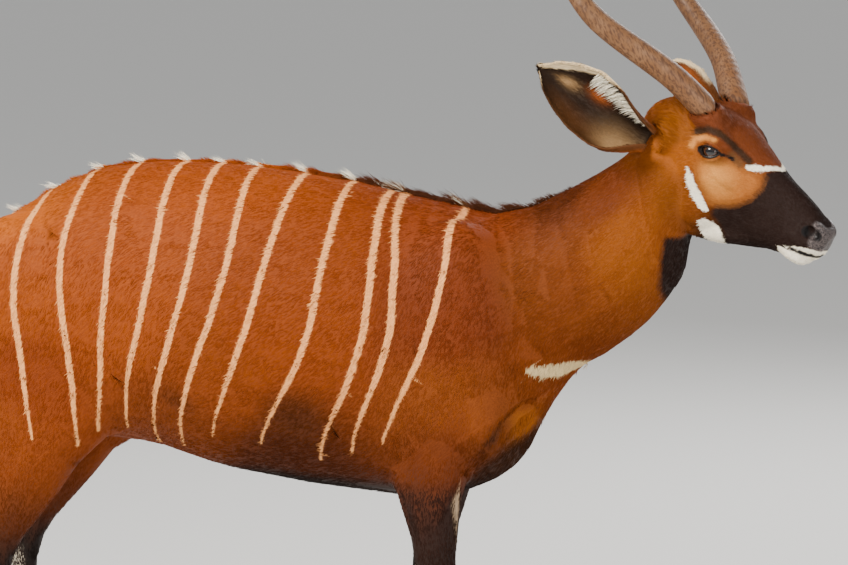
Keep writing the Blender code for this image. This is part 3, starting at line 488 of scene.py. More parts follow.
# %% Fewer triangles, kept where head and stripes need them
GAP_ERROR = 0.0009
GAP_NEAR = 0.015
GAP_SEEN = 0.002
SHORT_EDGE = 0.003
REFINE_TURNS = 3
STRIPE_KEEP = 0.8
STRIPE_KEEP_REACH = (0.008, 0.004)
HEAD_KEEP = 0.9


def mark_gap(points):
    """Distance outside the nearest stripe or the crescent."""
    return np.minimum(stripe_gap(points), crescent_gap(points))


def refine_marks(piece):
    """Halve the edges along which the distance to the nearest mark isn't an even slope."""
    for _ in range(REFINE_TURNS):
        shape = bmesh.new()
        shape.from_mesh(piece.data)
        places = read_points(piece.data)
        ends = np.array([[vert.index for vert in edge.verts] for edge in shape.edges])
        gaps = mark_gap(places)[ends]
        length = np.linalg.norm(places[ends[:, 0]] - places[ends[:, 1]], axis=1)
        near = np.nonzero((length > SHORT_EDGE) & (gaps.min(1) < GAP_NEAR))[0]
        middle = mark_gap(places[ends[near]].mean(1))
        uneven = abs(middle - gaps[near].mean(1)) > GAP_ERROR
        wrong = uneven & (np.minimum(middle, gaps[near].min(1)) < GAP_SEEN)
        shape.edges.ensure_lookup_table()
        chosen = [shape.edges[int(index)] for index in near[wrong]]
        bmesh.ops.subdivide_edges(shape, edges=chosen, cuts=1)
        bmesh.ops.triangulate(shape, faces=[face for face in shape.faces if len(face.verts) > 3])
        shape.to_mesh(piece.data)
        shape.free()


places = read_points(skin.data)
have = sum(len(face.vertices) - 2 for face in skin.data.polygons)
near_mark = smooth_between(*STRIPE_KEEP_REACH, mark_gap(places))
keep = np.maximum(HEAD_KEEP * head_share(places), STRIPE_KEEP * near_mark)
add_modifier(skin, "DECIMATE", ratio=SKIN_TRIANGLES / have, use_collapse_triangulate=True,
             vertex_group=weigh(skin, "thin", 1.0 - keep), vertex_group_factor=1.0)
use_modifiers(skin)
skin.vertex_groups.clear()
refine_marks(skin)
print("skin", len(skin.data.polygons), "triangles")

# %% [markdown]
# ## The ears
# A bongo's ear is a broad cup of thin skin that opens from a tube at its root. Each starts as a flat grid,
# and every point of the grid is rolled to its place from the ear's widths and angles along its length.
# The same rule places the hair of the ears later, so it is kept as a function.

# %% Ear cups
EAR_ROOT = (-0.116, -0.065, 0.078)
EAR_TIPS = {"right": (-0.325, -0.055, 0.185), "left": (-0.294, -0.055, 0.218)}
EAR_FACING = (0.38, 0.42, 0.82)
SIDES = {"right": -1.0, "left": 1.0}
EAR_STATIONS = [0.00, 0.12, 0.25, 0.40, 0.58, 0.76, 0.90, 1.00]
EAR_UPPER = [0.022, 0.023, 0.030, 0.045, 0.054, 0.045, 0.029, 0.006]
EAR_LOWER = [0.025, 0.046, 0.064, 0.070, 0.066, 0.051, 0.032, 0.006]
EAR_ANGLE = [156.0, 136.0, 112.0, 88.0, 70.0, 58.0, 50.0, 45.0]
EAR_WALL = 0.0026
EAR_SQUARES = (30, 34)
SOFT_WIDTH = 0.05


def soft_line(at, stations, values):
    """Values between stations on a line without corners."""
    offsets = np.linspace(-1.0, 1.0, 9) * SOFT_WIDTH
    weights = np.cos(offsets / SOFT_WIDTH * math.pi / 2.0) + 0.05
    spread = np.clip(np.asarray(at)[:, None] + offsets, 0.0, 1.0)
    return (np.interp(spread, stations, values) * weights).sum(1) / weights.sum()


def ear_points(name, share, turn):
    """Places on an ear: share runs from root to tip, turn from -1 at the lower rim to 1 at the upper rim."""
    side = SIDES[name]
    root = np.array(at_head(EAR_ROOT[0], EAR_ROOT[1], EAR_ROOT[2] * side))
    tip = EAR_TIPS[name]
    end = np.array(at_head(tip[0], tip[1], tip[2] * side))
    along = (end - root) / np.linalg.norm(end - root)
    facing = np.array(FORWARD * EAR_FACING[0] + UP * EAR_FACING[1] + LEFT * EAR_FACING[2] * side)
    facing = facing - along * facing.dot(along)
    facing = facing / np.linalg.norm(facing)
    across = np.cross(facing, along) * side
    upper = soft_line(share, EAR_STATIONS, EAR_UPPER)
    lower = soft_line(share, EAR_STATIONS, EAR_LOWER)
    angle = np.radians(soft_line(share, EAR_STATIONS, EAR_ANGLE))
    stretch = np.sin(np.minimum(angle, math.pi / 2.0))
    depth = (upper + lower) / 2.0 / stretch
    width = np.where(turn > 0.0, upper, lower) / stretch
    bend = angle * turn
    spine = root + (end - root) * np.asarray(share)[:, None]
    sideways = across * (width * np.sin(bend))[:, None]
    return spine + sideways + facing * (depth * (1.0 - np.cos(bend)))[:, None]


def ear_out(name, share, turn):
    """Directions out of the back of the ear at the same places, and along it to the tip."""
    small = 0.004
    ahead = ear_points(name, np.clip(share + small, 0.0, 1.0), turn) - ear_points(name, share - small, turn)
    around = ear_points(name, share, turn + small) - ear_points(name, share, turn - small)
    out = np.cross(around, ahead) * SIDES[name]
    out /= np.linalg.norm(out, axis=1)[:, None] + 1e-12
    ahead /= np.linalg.norm(ahead, axis=1)[:, None] + 1e-12
    return out, ahead


def ear_grid():
    """The ear's flat grid, and the share and turn of each of its vertices."""
    shape, flat = flat_grid(*EAR_SQUARES)
    return shape, flat[:, 1] * 0.5 + 0.5, flat[:, 0]


def with_wall(name, shape, thickness):
    """One piece from a rolled grid, with a wall of skin."""
    piece = piece_from(name, shape)
    add_modifier(piece, "SOLIDIFY", thickness=thickness, offset=0.0)
    return use_modifiers(piece)


def ear_skin(name):
    shape, share, turn = ear_grid()
    move_points(shape, ear_points(name, share, turn))
    return with_wall("ear_skin_" + name, shape, EAR_WALL)


ear_skins = {name: ear_skin(name) for name in SIDES}
print("ears", [len(piece.data.polygons) for piece in ear_skins.values()])

# %% [markdown]
# ## The tail
# Under its hair the tail is a thin tapering rod of skin that hangs from the rump. It is made by pushing a
# ring of points along the tail's line, one step after another.

# %% Tail core
# x, height and radius at even steps from root to tip
TAIL_LINE = [
    (-0.930, 1.060, 0.024), (-1.000, 1.056, 0.021), (-1.052, 1.015, 0.018), (-1.078, 0.940, 0.015),
    (-1.084, 0.840, 0.012), (-1.080, 0.740, 0.011), (-1.074, 0.640, 0.009), (-1.070, 0.580, 0.004),
]
TAIL_SIDES = 16
TAIL_STEPS = 48


def tail_place(share):
    """Middle and radius of the tail at shares of its length."""
    stations = np.linspace(0.0, 1.0, len(TAIL_LINE))
    x, z, radius = (soft_line(share, stations, column) for column in zip(*TAIL_LINE))
    return np.column_stack([x, np.zeros(len(x)), z]) + np.array(WITHERS), radius


def tail_core():
    shape = bmesh.new()
    share = np.linspace(0.0, 1.0, TAIL_STEPS)
    middles, radii = tail_place(share)
    loops = []
    for index, (middle, radius) in enumerate(zip(middles, radii)):
        ahead = middles[min(index + 1, TAIL_STEPS - 1)] - middles[max(index - 1, 0)]
        loops.append(add_ring(shape, middle, ahead, float(radius), TAIL_SIDES))
    for lower, upper in zip(loops, loops[1:]):
        bmesh.ops.bridge_loops(shape, edges=lower + upper)
    for loop in (loops[0], loops[-1]):
        bmesh.ops.edgeloop_fill(shape, edges=loop)
    bmesh.ops.recalc_face_normals(shape, faces=shape.faces)
    return piece_from("tail_core", shape)


tail_piece = tail_core()
print("tail", len(tail_piece.data.polygons), "faces")

# %% [markdown]
# ## The lids
# Two thin lids close over each eye and leave an almond-shaped opening, whose long axis lies level when the
# head is bowed. They are part of a ball a little larger than the eye, and their outer part is under the
# skin of the brow and the cheek.

# %% Lids
EYE_SPREAD = 0.068
LID_FACING = (-0.10, -0.16, 1.00)
LID_TILT = math.radians(30.0)
LID_RADIUS = 0.0222
LID_HALF = (1.10, 0.46, 0.40)
LID_REACH = 1.95
LID_RISE = 0.0024
LID_FOLD = 0.0009
LID_FOLD_PLACE = (1.45, 0.12)
LID_CORNER = 0.62
LID_WIDER = 0.30
LID_WALL = 0.0009
LID_GRID = (72, 10)


def eye_axes(side, facing, tilt=0.0):
    """Middle of the eye, where it faces, and the directions ahead and up across it, turned by a tilt."""
    middle = at_head(0.0, 0.0, EYE_SPREAD * side)
    gaze = (FORWARD * facing[0] + UP * facing[1] + LEFT * facing[2] * side).normalized()
    ahead = (FORWARD - gaze * gaze.dot(FORWARD)).normalized()
    rise = (UP - gaze * gaze.dot(UP) - ahead * ahead.dot(UP)).normalized()
    turned = ahead * math.cos(tilt) + rise * math.sin(tilt)
    return middle, gaze, turned, rise * math.cos(tilt) - ahead * math.sin(tilt)


def lid_arch(rise):
    """How full the lid's curve is: 1 at its middle and less towards the corners."""
    return LID_CORNER + (1.0 - LID_CORNER) * rise


def lid_points(side, turns, reach):
    """Points on the lids: turns run from the front corner over the top, reach is 1 at the opening's edge."""
    middle, gaze, ahead, rise = eye_axes(side, LID_FACING, LID_TILT)
    height = np.where(np.sin(turns) > 0.0, LID_HALF[1], LID_HALF[2])
    wider = 1.0 + (reach - 1.0) * LID_WIDER
    over = np.cos(turns) * LID_HALF[0] * wider
    tall = np.sin(turns) * height * lid_arch(abs(np.sin(turns))) * reach
    slant = np.hypot(over, tall) + 1e-9
    ways = np.outer(np.cos(slant), gaze) + np.outer(over * np.sin(slant) / slant, ahead)
    ways += np.outer(tall * np.sin(slant) / slant, rise)
    fold = LID_FOLD * np.exp(-((reach - LID_FOLD_PLACE[0]) / LID_FOLD_PLACE[1]) ** 2) * (np.sin(turns) > 0.0)
    return np.array(middle) + ways * (LID_RADIUS + (reach - 1.0) * LID_RISE - fold)[:, None]


def lid_skin(name, side):
    """A band of lid skin round the opening."""
    shape, flat = flat_grid(*LID_GRID)
    reach = 1.0 + (flat[:, 1] + 1.0) / 2.0 * (LID_REACH - 1.0)
    move_points(shape, lid_points(side, flat[:, 0] * math.pi, reach))
    bmesh.ops.remove_doubles(shape, verts=shape.verts, dist=WELD)
    return with_wall("lid_skin_" + name, shape, LID_WALL)


lid_skins = {name: lid_skin(name, side) for name, side in SIDES.items()}
print("lids", [len(piece.data.polygons) for piece in lid_skins.values()])

# %% [markdown]
# ## Into the coat
# The solids reach to the tips of the hair, so the skin moves in by the depth of the coat: most on the
# trunk, a little on the face and the feet. Ears and tail join it, and it is one skin from nose to tail.

# %% Inset and join
LEG_DEPTH = 0.0014
TRUNK_DEPTH = 0.0030
FACE_DEPTH = 0.0012


def coat_depth(points):
    """How far the tips of the lying hair stand over the skin."""
    body = in_body(points)
    depth = LEG_DEPTH + (TRUNK_DEPTH - LEG_DEPTH) * smooth_between(0.45, 0.85, body[:, 2])
    face = head_share(points)
    return depth * (1.0 - face) + FACE_DEPTH * face


places = read_points(skin.data)
inset = read_normals(skin.data) * (coat_depth(places) + OVERLAP)[:, None]
write_points(skin.data, places - inset)
body_count = len(skin.data.vertices)
whole = bmesh.new()
added = [tail_piece] + list(ear_skins.values()) + list(lid_skins.values())
ear_ranges = {}
for piece in [skin] + added:
    start = len(whole.verts)
    whole.from_mesh(piece.data)
    if piece.name.startswith("ear_skin_"):
        ear_ranges[piece.name.removeprefix("ear_skin_")] = (start, len(whole.verts))
bmesh.ops.triangulate(whole, faces=whole.faces)
whole.to_mesh(skin.data)
whole.free()
for piece in added:
    bpy.data.objects.remove(piece, do_unlink=True)
shade_smooth(skin)
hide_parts("tail", "ear_right", "ear_left", *FLESH)
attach(skin, "root")
print("one skin of", len(skin.data.polygons), "triangles")

# %% [markdown]
# ## How the hair lies
# Hair grows backwards from the nose, streams over neck and trunk to the tail and runs down the legs.
# Each line below names a place, the way the hair flows there, and how long, wide and raised it is. Any
# point of the skin takes a blend of its nearest places, so the comb works from named spots alone.

# %% Comb of the body
# name: place beside the mid-plane, reach, flow (x, outwards, z), length, width, lift
BODY_COMB = {
    "withers": ((0.02, 0.03, 1.16), 0.10, (-1.00, 0.10, -0.10), 0.016, 0.0017, 0.12),
    "shoulder": ((0.02, 0.17, 0.95), 0.15, (-0.45, 0.00, -0.90), 0.012, 0.0017, 0.04),
    "high_ribs": ((-0.30, 0.14, 1.15), 0.18, (-0.90, 0.15, -0.45), 0.014, 0.0017, 0.04),
    "ribs": ((-0.30, 0.24, 0.92), 0.18, (-0.80, 0.00, -0.60), 0.014, 0.0017, 0.04),
    "belly": ((-0.30, 0.06, 0.64), 0.16, (-0.90, -0.10, -0.20), 0.015, 0.0017, 0.09),
    "flank": ((-0.62, 0.20, 0.85), 0.14, (-0.55, 0.00, -0.85), 0.014, 0.0017, 0.04),
    "loin": ((-0.60, 0.07, 1.22), 0.14, (-0.95, 0.20, -0.15), 0.014, 0.0017, 0.04),
    "haunch": ((-0.82, 0.19, 0.98), 0.15, (-0.40, 0.00, -0.90), 0.014, 0.0017, 0.04),
    "rump": ((-0.99, 0.08, 1.02), 0.11, (-0.40, 0.10, -1.00), 0.012, 0.0017, 0.04),
    "stifle": ((-0.72, 0.16, 0.72), 0.10, (-0.35, 0.00, -1.00), 0.011, 0.0016, 0.04),
    "chest": ((0.18, 0.04, 0.85), 0.11, (-0.20, 0.05, -1.00), 0.015, 0.0017, 0.08),
    "brisket": ((0.12, 0.03, 0.70), 0.11, (-0.80, 0.00, -0.60), 0.015, 0.0017, 0.09),
    "neck_foot": ((0.20, 0.11, 1.05), 0.11, (-0.80, 0.00, -0.60), 0.011, 0.0016, 0.04),
    "neck_side": ((0.30, 0.09, 1.13), 0.10, (-0.80, 0.00, -0.62), 0.010, 0.0016, 0.04),
    "neck_top": ((0.22, 0.02, 1.21), 0.09, (-0.92, 0.00, -0.40), 0.012, 0.0016, 0.15),
    "neck_front": ((0.42, 0.04, 1.10), 0.09, (-0.45, 0.00, -0.90), 0.011, 0.0016, 0.04),
    "neck_high": ((0.39, 0.07, 1.24), 0.08, (-0.85, 0.00, -0.50), 0.009, 0.0015, 0.04),
    "upper_arm": ((0.04, 0.14, 0.76), 0.10, (-0.20, 0.00, -1.00), 0.010, 0.0016, 0.04),
    "forearm": ((0.02, 0.11, 0.56), 0.10, (-0.05, 0.00, -1.00), 0.012, 0.0015, 0.04),
    "knee": ((0.00, 0.10, 0.38), 0.09, (0.00, 0.00, -1.00), 0.009, 0.0014, 0.04),
    "fore_cannon": ((0.00, 0.10, 0.22), 0.09, (0.00, 0.00, -1.00), 0.008, 0.0014, 0.05),
    "fore_fetlock": ((0.00, 0.10, 0.09), 0.07, (-0.10, 0.00, -1.00), 0.009, 0.0014, 0.08),
    "thigh": ((-0.86, 0.16, 0.76), 0.10, (-0.15, 0.00, -1.00), 0.010, 0.0016, 0.04),
    "gaskin": ((-0.88, 0.13, 0.60), 0.09, (-0.15, 0.00, -1.00), 0.009, 0.0015, 0.04),
    "hock": ((-0.93, 0.12, 0.48), 0.08, (0.00, 0.00, -1.00), 0.010, 0.0014, 0.04),
    "hind_cannon": ((-0.88, 0.12, 0.28), 0.10, (0.00, 0.00, -1.00), 0.008, 0.0014, 0.05),
    "hind_fetlock": ((-0.86, 0.12, 0.09), 0.07, (-0.10, 0.00, -1.00), 0.009, 0.0014, 0.08),
}

# %% Comb of the head
# the same, told in the head's frame: place and flow are forward, up and outwards
HEAD_COMB = {
    "nose_bridge": ((0.170, 0.030, 0.000), 0.045, (-1.0, 0.05, 0.0), 0.0060, 0.00090, 0.08),
    "nose_side": ((0.190, -0.030, 0.040), 0.040, (-1.0, -0.20, 0.0), 0.0055, 0.00087, 0.08),
    "upper_lip": ((0.220, -0.050, 0.030), 0.025, (-0.8, -0.50, 0.0), 0.0050, 0.00082, 0.11),
    "chin": ((0.215, -0.082, 0.010), 0.025, (-0.9, -0.40, 0.0), 0.0075, 0.00087, 0.17),
    "forehead": ((0.000, 0.045, 0.015), 0.040, (-1.0, 0.20, 0.1), 0.0085, 0.00100, 0.12),
    "brow": ((0.005, 0.032, 0.056), 0.022, (-0.9, 0.20, 0.3), 0.0060, 0.00087, 0.10),
    "eye_corner": ((0.040, -0.006, 0.058), 0.022, (-0.8, -0.50, 0.0), 0.0050, 0.00082, 0.08),
    "under_eye": ((0.010, -0.036, 0.074), 0.024, (-0.9, -0.45, 0.0), 0.0055, 0.00085, 0.08),
    "cheek": ((0.050, -0.075, 0.062), 0.040, (-0.9, -0.45, 0.0), 0.0085, 0.00097, 0.09),
    "jaw": ((0.100, -0.120, 0.035), 0.045, (-1.0, -0.25, 0.0), 0.0095, 0.00100, 0.11),
    "jaw_angle": ((-0.020, -0.125, 0.055), 0.045, (-0.9, -0.60, 0.0), 0.0125, 0.00115, 0.11),
    "throat": ((-0.060, -0.170, 0.020), 0.050, (-0.9, -0.60, 0.0), 0.0260, 0.00140, 0.18),
    "poll": ((-0.099, 0.038, 0.030), 0.035, (-0.9, 0.40, 0.1), 0.0190, 0.00150, 0.17),
    "ear_foot": ((-0.089, -0.032, 0.080), 0.035, (-0.8, 0.15, 0.6), 0.0180, 0.00150, 0.17),
    "behind_jaw": ((-0.134, -0.087, 0.060), 0.050, (-0.9, -0.45, 0.0), 0.0150, 0.00130, 0.11),
}


def comb_rows():
    """Every place of both combs as world place, reach, world flow, length, width and lift, on both sides."""
    rows = []
    for side in (-1.0, 1.0):
        for (x, y, z), reach, (ahead, out, up), length, width, lift in BODY_COMB.values():
            rows.append((at_body(x, y * side, z), reach, Vector((ahead, out * side, up)), length, width, lift))
        for (a, b, c), reach, (ahead, up, out), length, width, lift in HEAD_COMB.values():
            flow = FORWARD * ahead + UP * up + LEFT * out * side
            rows.append((at_head(a, b, c * side), reach, flow, length, width, lift))
    return rows


def nearness(points, place, reach, core, power):
    """Weight of a named place at each point, which falls with the distance told in reaches."""
    distance = ((points - np.array(place)) ** 2).sum(1) / (reach * reach)
    return 1.0 / (core + distance) ** power


def comb(points):
    """Flow, length, width and lift of the hair at each point."""
    total = np.zeros(len(points))
    flow = np.zeros((len(points), 3))
    sizes = np.zeros((len(points), 3))
    for place, reach, way, length, width, lift in comb_rows():
        weight = nearness(points, place, reach, 0.02, 3)
        total += weight
        flow += weight[:, None] * np.array(way.normalized())
        sizes += weight[:, None] * np.array((length, width, lift))
    return flow, sizes / total[:, None]


print("comb of", len(BODY_COMB), "places on the body and", len(HEAD_COMB), "on the head")

# %% [markdown]
# ## Colour of the coat
# The ground colour blends between named places, as the comb does: orange on the neck, chestnut on the
# trunk, almost black below. Over it come marks with sharp edges: thirteen white stripes, a crescent on
# the chest, the face's patches and the bands of the legs. Each mark is a line or an outline in metres.

# %% Ground colours
BODY_COLOURS = [
    ((-0.99, 0.08, 1.00), 0.14, (0.373, 0.084, 0.007)),
    ((-0.84, 0.19, 1.00), 0.16, (0.235, 0.046, 0.003)),
    ((-0.88, 0.13, 1.12), 0.12, (0.370, 0.085, 0.006)),
    ((-0.80, 0.18, 0.84), 0.12, (0.160, 0.028, 0.002)),
    ((-0.45, 0.05, 1.22), 0.16, (0.240, 0.045, 0.003)),
    ((-0.60, 0.20, 1.00), 0.16, (0.220, 0.042, 0.003)),
    ((0.02, 0.04, 1.15), 0.12, (0.166, 0.029, 0.003)),
    ((-0.28, 0.23, 0.98), 0.18, (0.185, 0.034, 0.002)),
    ((-0.40, 0.23, 0.86), 0.14, (0.175, 0.034, 0.002)),
    ((-0.25, 0.19, 0.79), 0.07, (0.060, 0.014, 0.002)),
    ((-0.48, 0.18, 0.80), 0.07, (0.095, 0.020, 0.002)),
    ((-0.50, 0.20, 0.74), 0.12, (0.158, 0.031, 0.002)),
    ((-0.28, 0.18, 0.68), 0.11, (0.062, 0.013, 0.002)),
    ((-0.30, 0.03, 0.62), 0.12, (0.013, 0.005, 0.003)),
    ((0.04, 0.17, 0.98), 0.13, (0.125, 0.022, 0.003)),
    ((0.04, 0.16, 0.82), 0.11, (0.180, 0.040, 0.004)),
    ((0.18, 0.05, 0.86), 0.10, (0.160, 0.034, 0.003)),
    ((0.16, 0.06, 0.77), 0.05, (0.290, 0.080, 0.006)),
    ((0.12, 0.02, 0.70), 0.10, (0.030, 0.009, 0.002)),
    ((0.19, 0.10, 1.03), 0.10, (0.140, 0.032, 0.004)),
    ((0.22, 0.02, 1.20), 0.09, (0.075, 0.016, 0.003)),
    ((0.36, 0.07, 1.12), 0.09, (0.215, 0.055, 0.005)),
    ((0.30, 0.08, 1.20), 0.08, (0.115, 0.024, 0.003)),
    ((0.44, 0.00, 1.08), 0.05, (0.083, 0.020, 0.004)),
    ((0.02, 0.14, 0.72), 0.08, (0.110, 0.022, 0.003)),
    ((-0.86, 0.17, 0.72), 0.12, (0.191, 0.038, 0.003)),
    ((0.02, 0.11, 0.56), 0.08, (0.085, 0.017, 0.003)),
    ((-0.88, 0.13, 0.58), 0.08, (0.083, 0.018, 0.003)),
    ((0.00, 0.10, 0.38), 0.08, (0.022, 0.008, 0.004)),
    ((-0.92, 0.12, 0.44), 0.08, (0.025, 0.009, 0.004)),
]
HEAD_COLOURS = [
    ((0.000, 0.045, 0.000), 0.040, (0.138, 0.032, 0.007)),
    ((0.000, 0.030, 0.055), 0.025, (0.129, 0.030, 0.007)),
    ((-0.094, 0.038, 0.020), 0.040, (0.150, 0.042, 0.004)),
    ((-0.089, -0.032, 0.080), 0.045, (0.200, 0.056, 0.004)),
    ((-0.056, -0.050, 0.075), 0.035, (0.267, 0.070, 0.005)),
    ((-0.030, -0.125, 0.055), 0.045, (0.184, 0.050, 0.005)),
    ((-0.134, -0.087, 0.060), 0.050, (0.276, 0.072, 0.005)),
    # under the jaw and along the throat: black hair with painted shade
    ((-0.060, -0.170, 0.000), 0.045, (0.009, 0.005, 0.002)),
    ((-0.130, -0.200, 0.000), 0.050, (0.011, 0.006, 0.002)),
    ((0.080, -0.150, 0.000), 0.045, (0.008, 0.005, 0.002)),
]
WHITE_HAIR = (0.930, 0.860, 0.700)
STRIPE_HAIR = (0.740, 0.330, 0.115)
CRESCENT_HAIR = (0.640, 0.480, 0.250)
BLACK_HAIR = (0.010, 0.007, 0.006)
MUZZLE_HAIR = (0.016, 0.008, 0.006)
CHEEK_HAIR = (0.340, 0.110, 0.020)
CHEEK_LIGHT = (0.600, 0.260, 0.058)
RING_HAIR = (0.520, 0.205, 0.045)
BROW_HAIR = (0.135, 0.034, 0.010)
BROW_DARK = (0.036, 0.016, 0.007)
FLECK_HAIR = (0.520, 0.380, 0.240)
SHADE_HAIR = (0.110, 0.050, 0.017)


def ground_colour(points):
    """Blend of the ground colours at each point."""
    total = np.zeros(len(points))
    colour = np.zeros((len(points), 3))
    for side in (-1.0, 1.0):
        rows = [(at_body(x, y * side, z), reach, tone) for (x, y, z), reach, tone in BODY_COLOURS]
        rows += [(at_head(a, b, c * side), reach, tone) for (a, b, c), reach, tone in HEAD_COLOURS]
        for place, reach, tone in rows:
            weight = nearness(points, place, reach, 0.03, 2.5)
            total += weight
            colour += weight[:, None] * np.array(tone)
    return colour / total[:, None]


# %% Marks of the face, chest and legs
# outlines in the head's forward and up, on both sides of the face
MUZZLE_OUTLINE = [
    (0.106, 0.070), (0.106, 0.036), (0.092, 0.018), (0.098, 0.010), (0.104, -0.005), (0.101, -0.032),
    (0.085, -0.057), (0.059, -0.079), (0.057, -0.098), (0.073, -0.106), (0.096, -0.118), (0.105, -0.136),
    (0.098, -0.156), (0.060, -0.166), (0.027, -0.184), (0.013, -0.190), (0.030, -0.231), (0.051, -0.290),
    (0.080, -0.340), (0.320, -0.340), (0.320, 0.070),
]
CHEEK_OUTLINE = [
    (-0.013, -0.036), (0.001, -0.051), (0.015, -0.064), (0.040, -0.079), (0.058, -0.078), (0.085, -0.057),
    (0.101, -0.031), (0.104, -0.005), (0.097, 0.010), (0.084, 0.013), (0.066, 0.006), (0.037, 0.003),
    (0.019, -0.006), (0.002, -0.018),
]
CHEEK_MIDDLE = (0.032, -0.040)
CHEEK_BLUR = 0.010
CHEEK_REACH = 0.034
CHEEK_OUT = 0.030
UPPER_LEAF = [
    (-0.025, -0.053), (-0.013, -0.058), (0.001, -0.066), (0.019, -0.077), (0.038, -0.087), (0.053, -0.097),
    (0.051, -0.102), (0.036, -0.104), (0.012, -0.096), (-0.008, -0.083), (-0.020, -0.067),
]
LOWER_LEAF = [
    (0.047, -0.125), (0.054, -0.114), (0.068, -0.112), (0.088, -0.118), (0.101, -0.130), (0.102, -0.142),
    (0.090, -0.152), (0.064, -0.152), (0.052, -0.143),
]
LIP_OUTLINE = [
    (0.198, -0.065), (0.208, -0.057), (0.229, -0.042), (0.249, -0.033), (0.268, -0.031), (0.276, -0.046),
    (0.247, -0.048), (0.226, -0.057),
]
CHIN_OUTLINE = [
    (0.186, -0.073), (0.226, -0.059), (0.262, -0.046), (0.280, -0.100), (0.230, -0.112), (0.196, -0.094),
]
MOUTH_LINE = ((0.160, -0.072, 0.046), (0.195, -0.065, 0.041), (0.226, -0.056, 0.034), (0.247, -0.047, 0.021),
              (0.256, -0.044, 0.000))
BROW_FORWARD = (-0.084, -0.067, -0.048, -0.019, 0.021, 0.062, 0.094, 0.106)
BROW_UP = (0.017, 0.014, 0.014, 0.028, 0.028, 0.020, 0.031, 0.036)
BROW_ENDS = (-0.080, 0.104)
CHEVRON = ((0.066, 0.012, 0.050), (0.083, 0.021, 0.037), (0.095, 0.029, 0.020), (0.104, 0.033, 0.003))
CHEVRON_HALF = 0.0052
RING_LINE = ((-0.038, -0.017, 0.077), (-0.041, -0.005, 0.075), (-0.030, 0.008, 0.073), (-0.005, 0.019, 0.080))
BROW_STROKE = ((-0.047, 0.007, 0.072), (-0.030, 0.026, 0.075), (-0.008, 0.033, 0.071), (0.016, 0.031, 0.065),
               (0.038, 0.024, 0.051), (0.060, 0.020, 0.046))
BROW_SHADE = ((0.030, 0.014, 0.062), (0.052, 0.008, 0.056))
TEAR_DUCT = ((0.020, 0.007, 0.078), (0.028, 0.009, 0.070), (0.037, 0.009, 0.061))
NOSTRIL_LINE = ((0.222, -0.012, 0.036), (0.239, -0.009, 0.027))
# black of the nose pad's skin, also the painted shade in the nostrils and along the mouth's line
PAD_BLACK_AND_SHADE = (0.006, 0.005, 0.005)
EDGE_BLUR = 0.0035
BLUR_STEPS = (
    (0.0, 0.0), (1.0, 0.0), (-1.0, 0.0), (0.0, 1.0), (0.0, -1.0), (0.7, 0.7), (-0.7, 0.7), (0.7, -0.7),
    (-0.7, -0.7),
)
# black hair down the front of the neck, which also carries the painted shade under the jaw
THROAT_LINE = ((0.500, 0.000, 1.150), (0.462, 0.000, 1.080), (0.440, 0.000, 1.040))
THROAT_BLACK_AND_SHADE = (0.012, 0.006, 0.003)
# a painted shadow is laid along this line, in the groove in front of the arm
ARM_SHADE_LINE = ((0.150, 0.095, 0.798), *ARM_LINE[1:])
FLECK_LINE = ((0.046, 0.128, 0.640), (0.042, 0.120, 0.596))
FLECK_HALF = 0.0060
TRUNK_SPLIT = -0.40
# strokes of the face in the order of painting: line, soft edge from outside to inside, strength and tone
BROAD_STROKES = [
    (BROW_SHADE, (0.0120, 0.0020), 0.8, SHADE_HAIR),
    (RING_LINE, (0.0095, 0.0015), 1.0, RING_HAIR),
    (BROW_STROKE, (0.0110, 0.0030), 1.0, BROW_DARK),
]
FINE_STROKES = [
    (TEAR_DUCT, (0.0042, 0.0026), 1.0, BLACK_HAIR),
    (NOSTRIL_LINE, (0.0130, 0.0105), 1.0, PAD_BLACK_AND_SHADE),
]
# the mouth's line: painted shade of the gap between the lips
MOUTH_STROKE = [(MOUTH_LINE, (0.0064, 0.0044), 1.0, PAD_BLACK_AND_SHADE)]
LID_EDGE = (0.0038, 0.0022)
EYE_MARGIN = 0.008
# heights of the legs' bands, how far out the white inside ends, and x of each foot
SHIN_EDGE = (0.54, 0.44)
INNER_EDGE = (0.094, 0.084)
PALE_EDGE = (0.46, 0.40)
PALE_FOOT = 0.13
FOOT_EDGE = (0.135, 0.125)
SPOT_HEIGHTS = (0.060, 0.098)
FOOT_FORE = {"right": 0.020, "left": -0.153}
FOOT_HIND = {"right": -0.827, "left": -0.902}


def inside(outline, across, up):
    """Which points lie within a closed outline."""
    within = np.zeros(len(across), dtype=bool)
    for (x0, y0), (x1, y1) in zip(outline, outline[1:] + outline[:1]):
        crosses = (y0 > up) != (y1 > up)
        slope = (x1 - x0) / (y1 - y0 if y1 != y0 else 1e-9)
        within ^= crosses & (across < x0 + (up - y0) * slope)
    return within


def softly_inside(outline, across, up, blur=EDGE_BLUR):
    """Share of a small disc about each point that lies within a closed outline."""
    hits = [inside(outline, across + step * blur, up + rise * blur) for step, rise in BLUR_STEPS]
    return np.mean(hits, axis=0)


def paint(colour, where, tone):
    """Lay a tone over the colour by a share from 0 to 1."""
    where = np.asarray(where, dtype=float)[:, None]
    return colour * (1.0 - where) + np.asarray(tone) * where


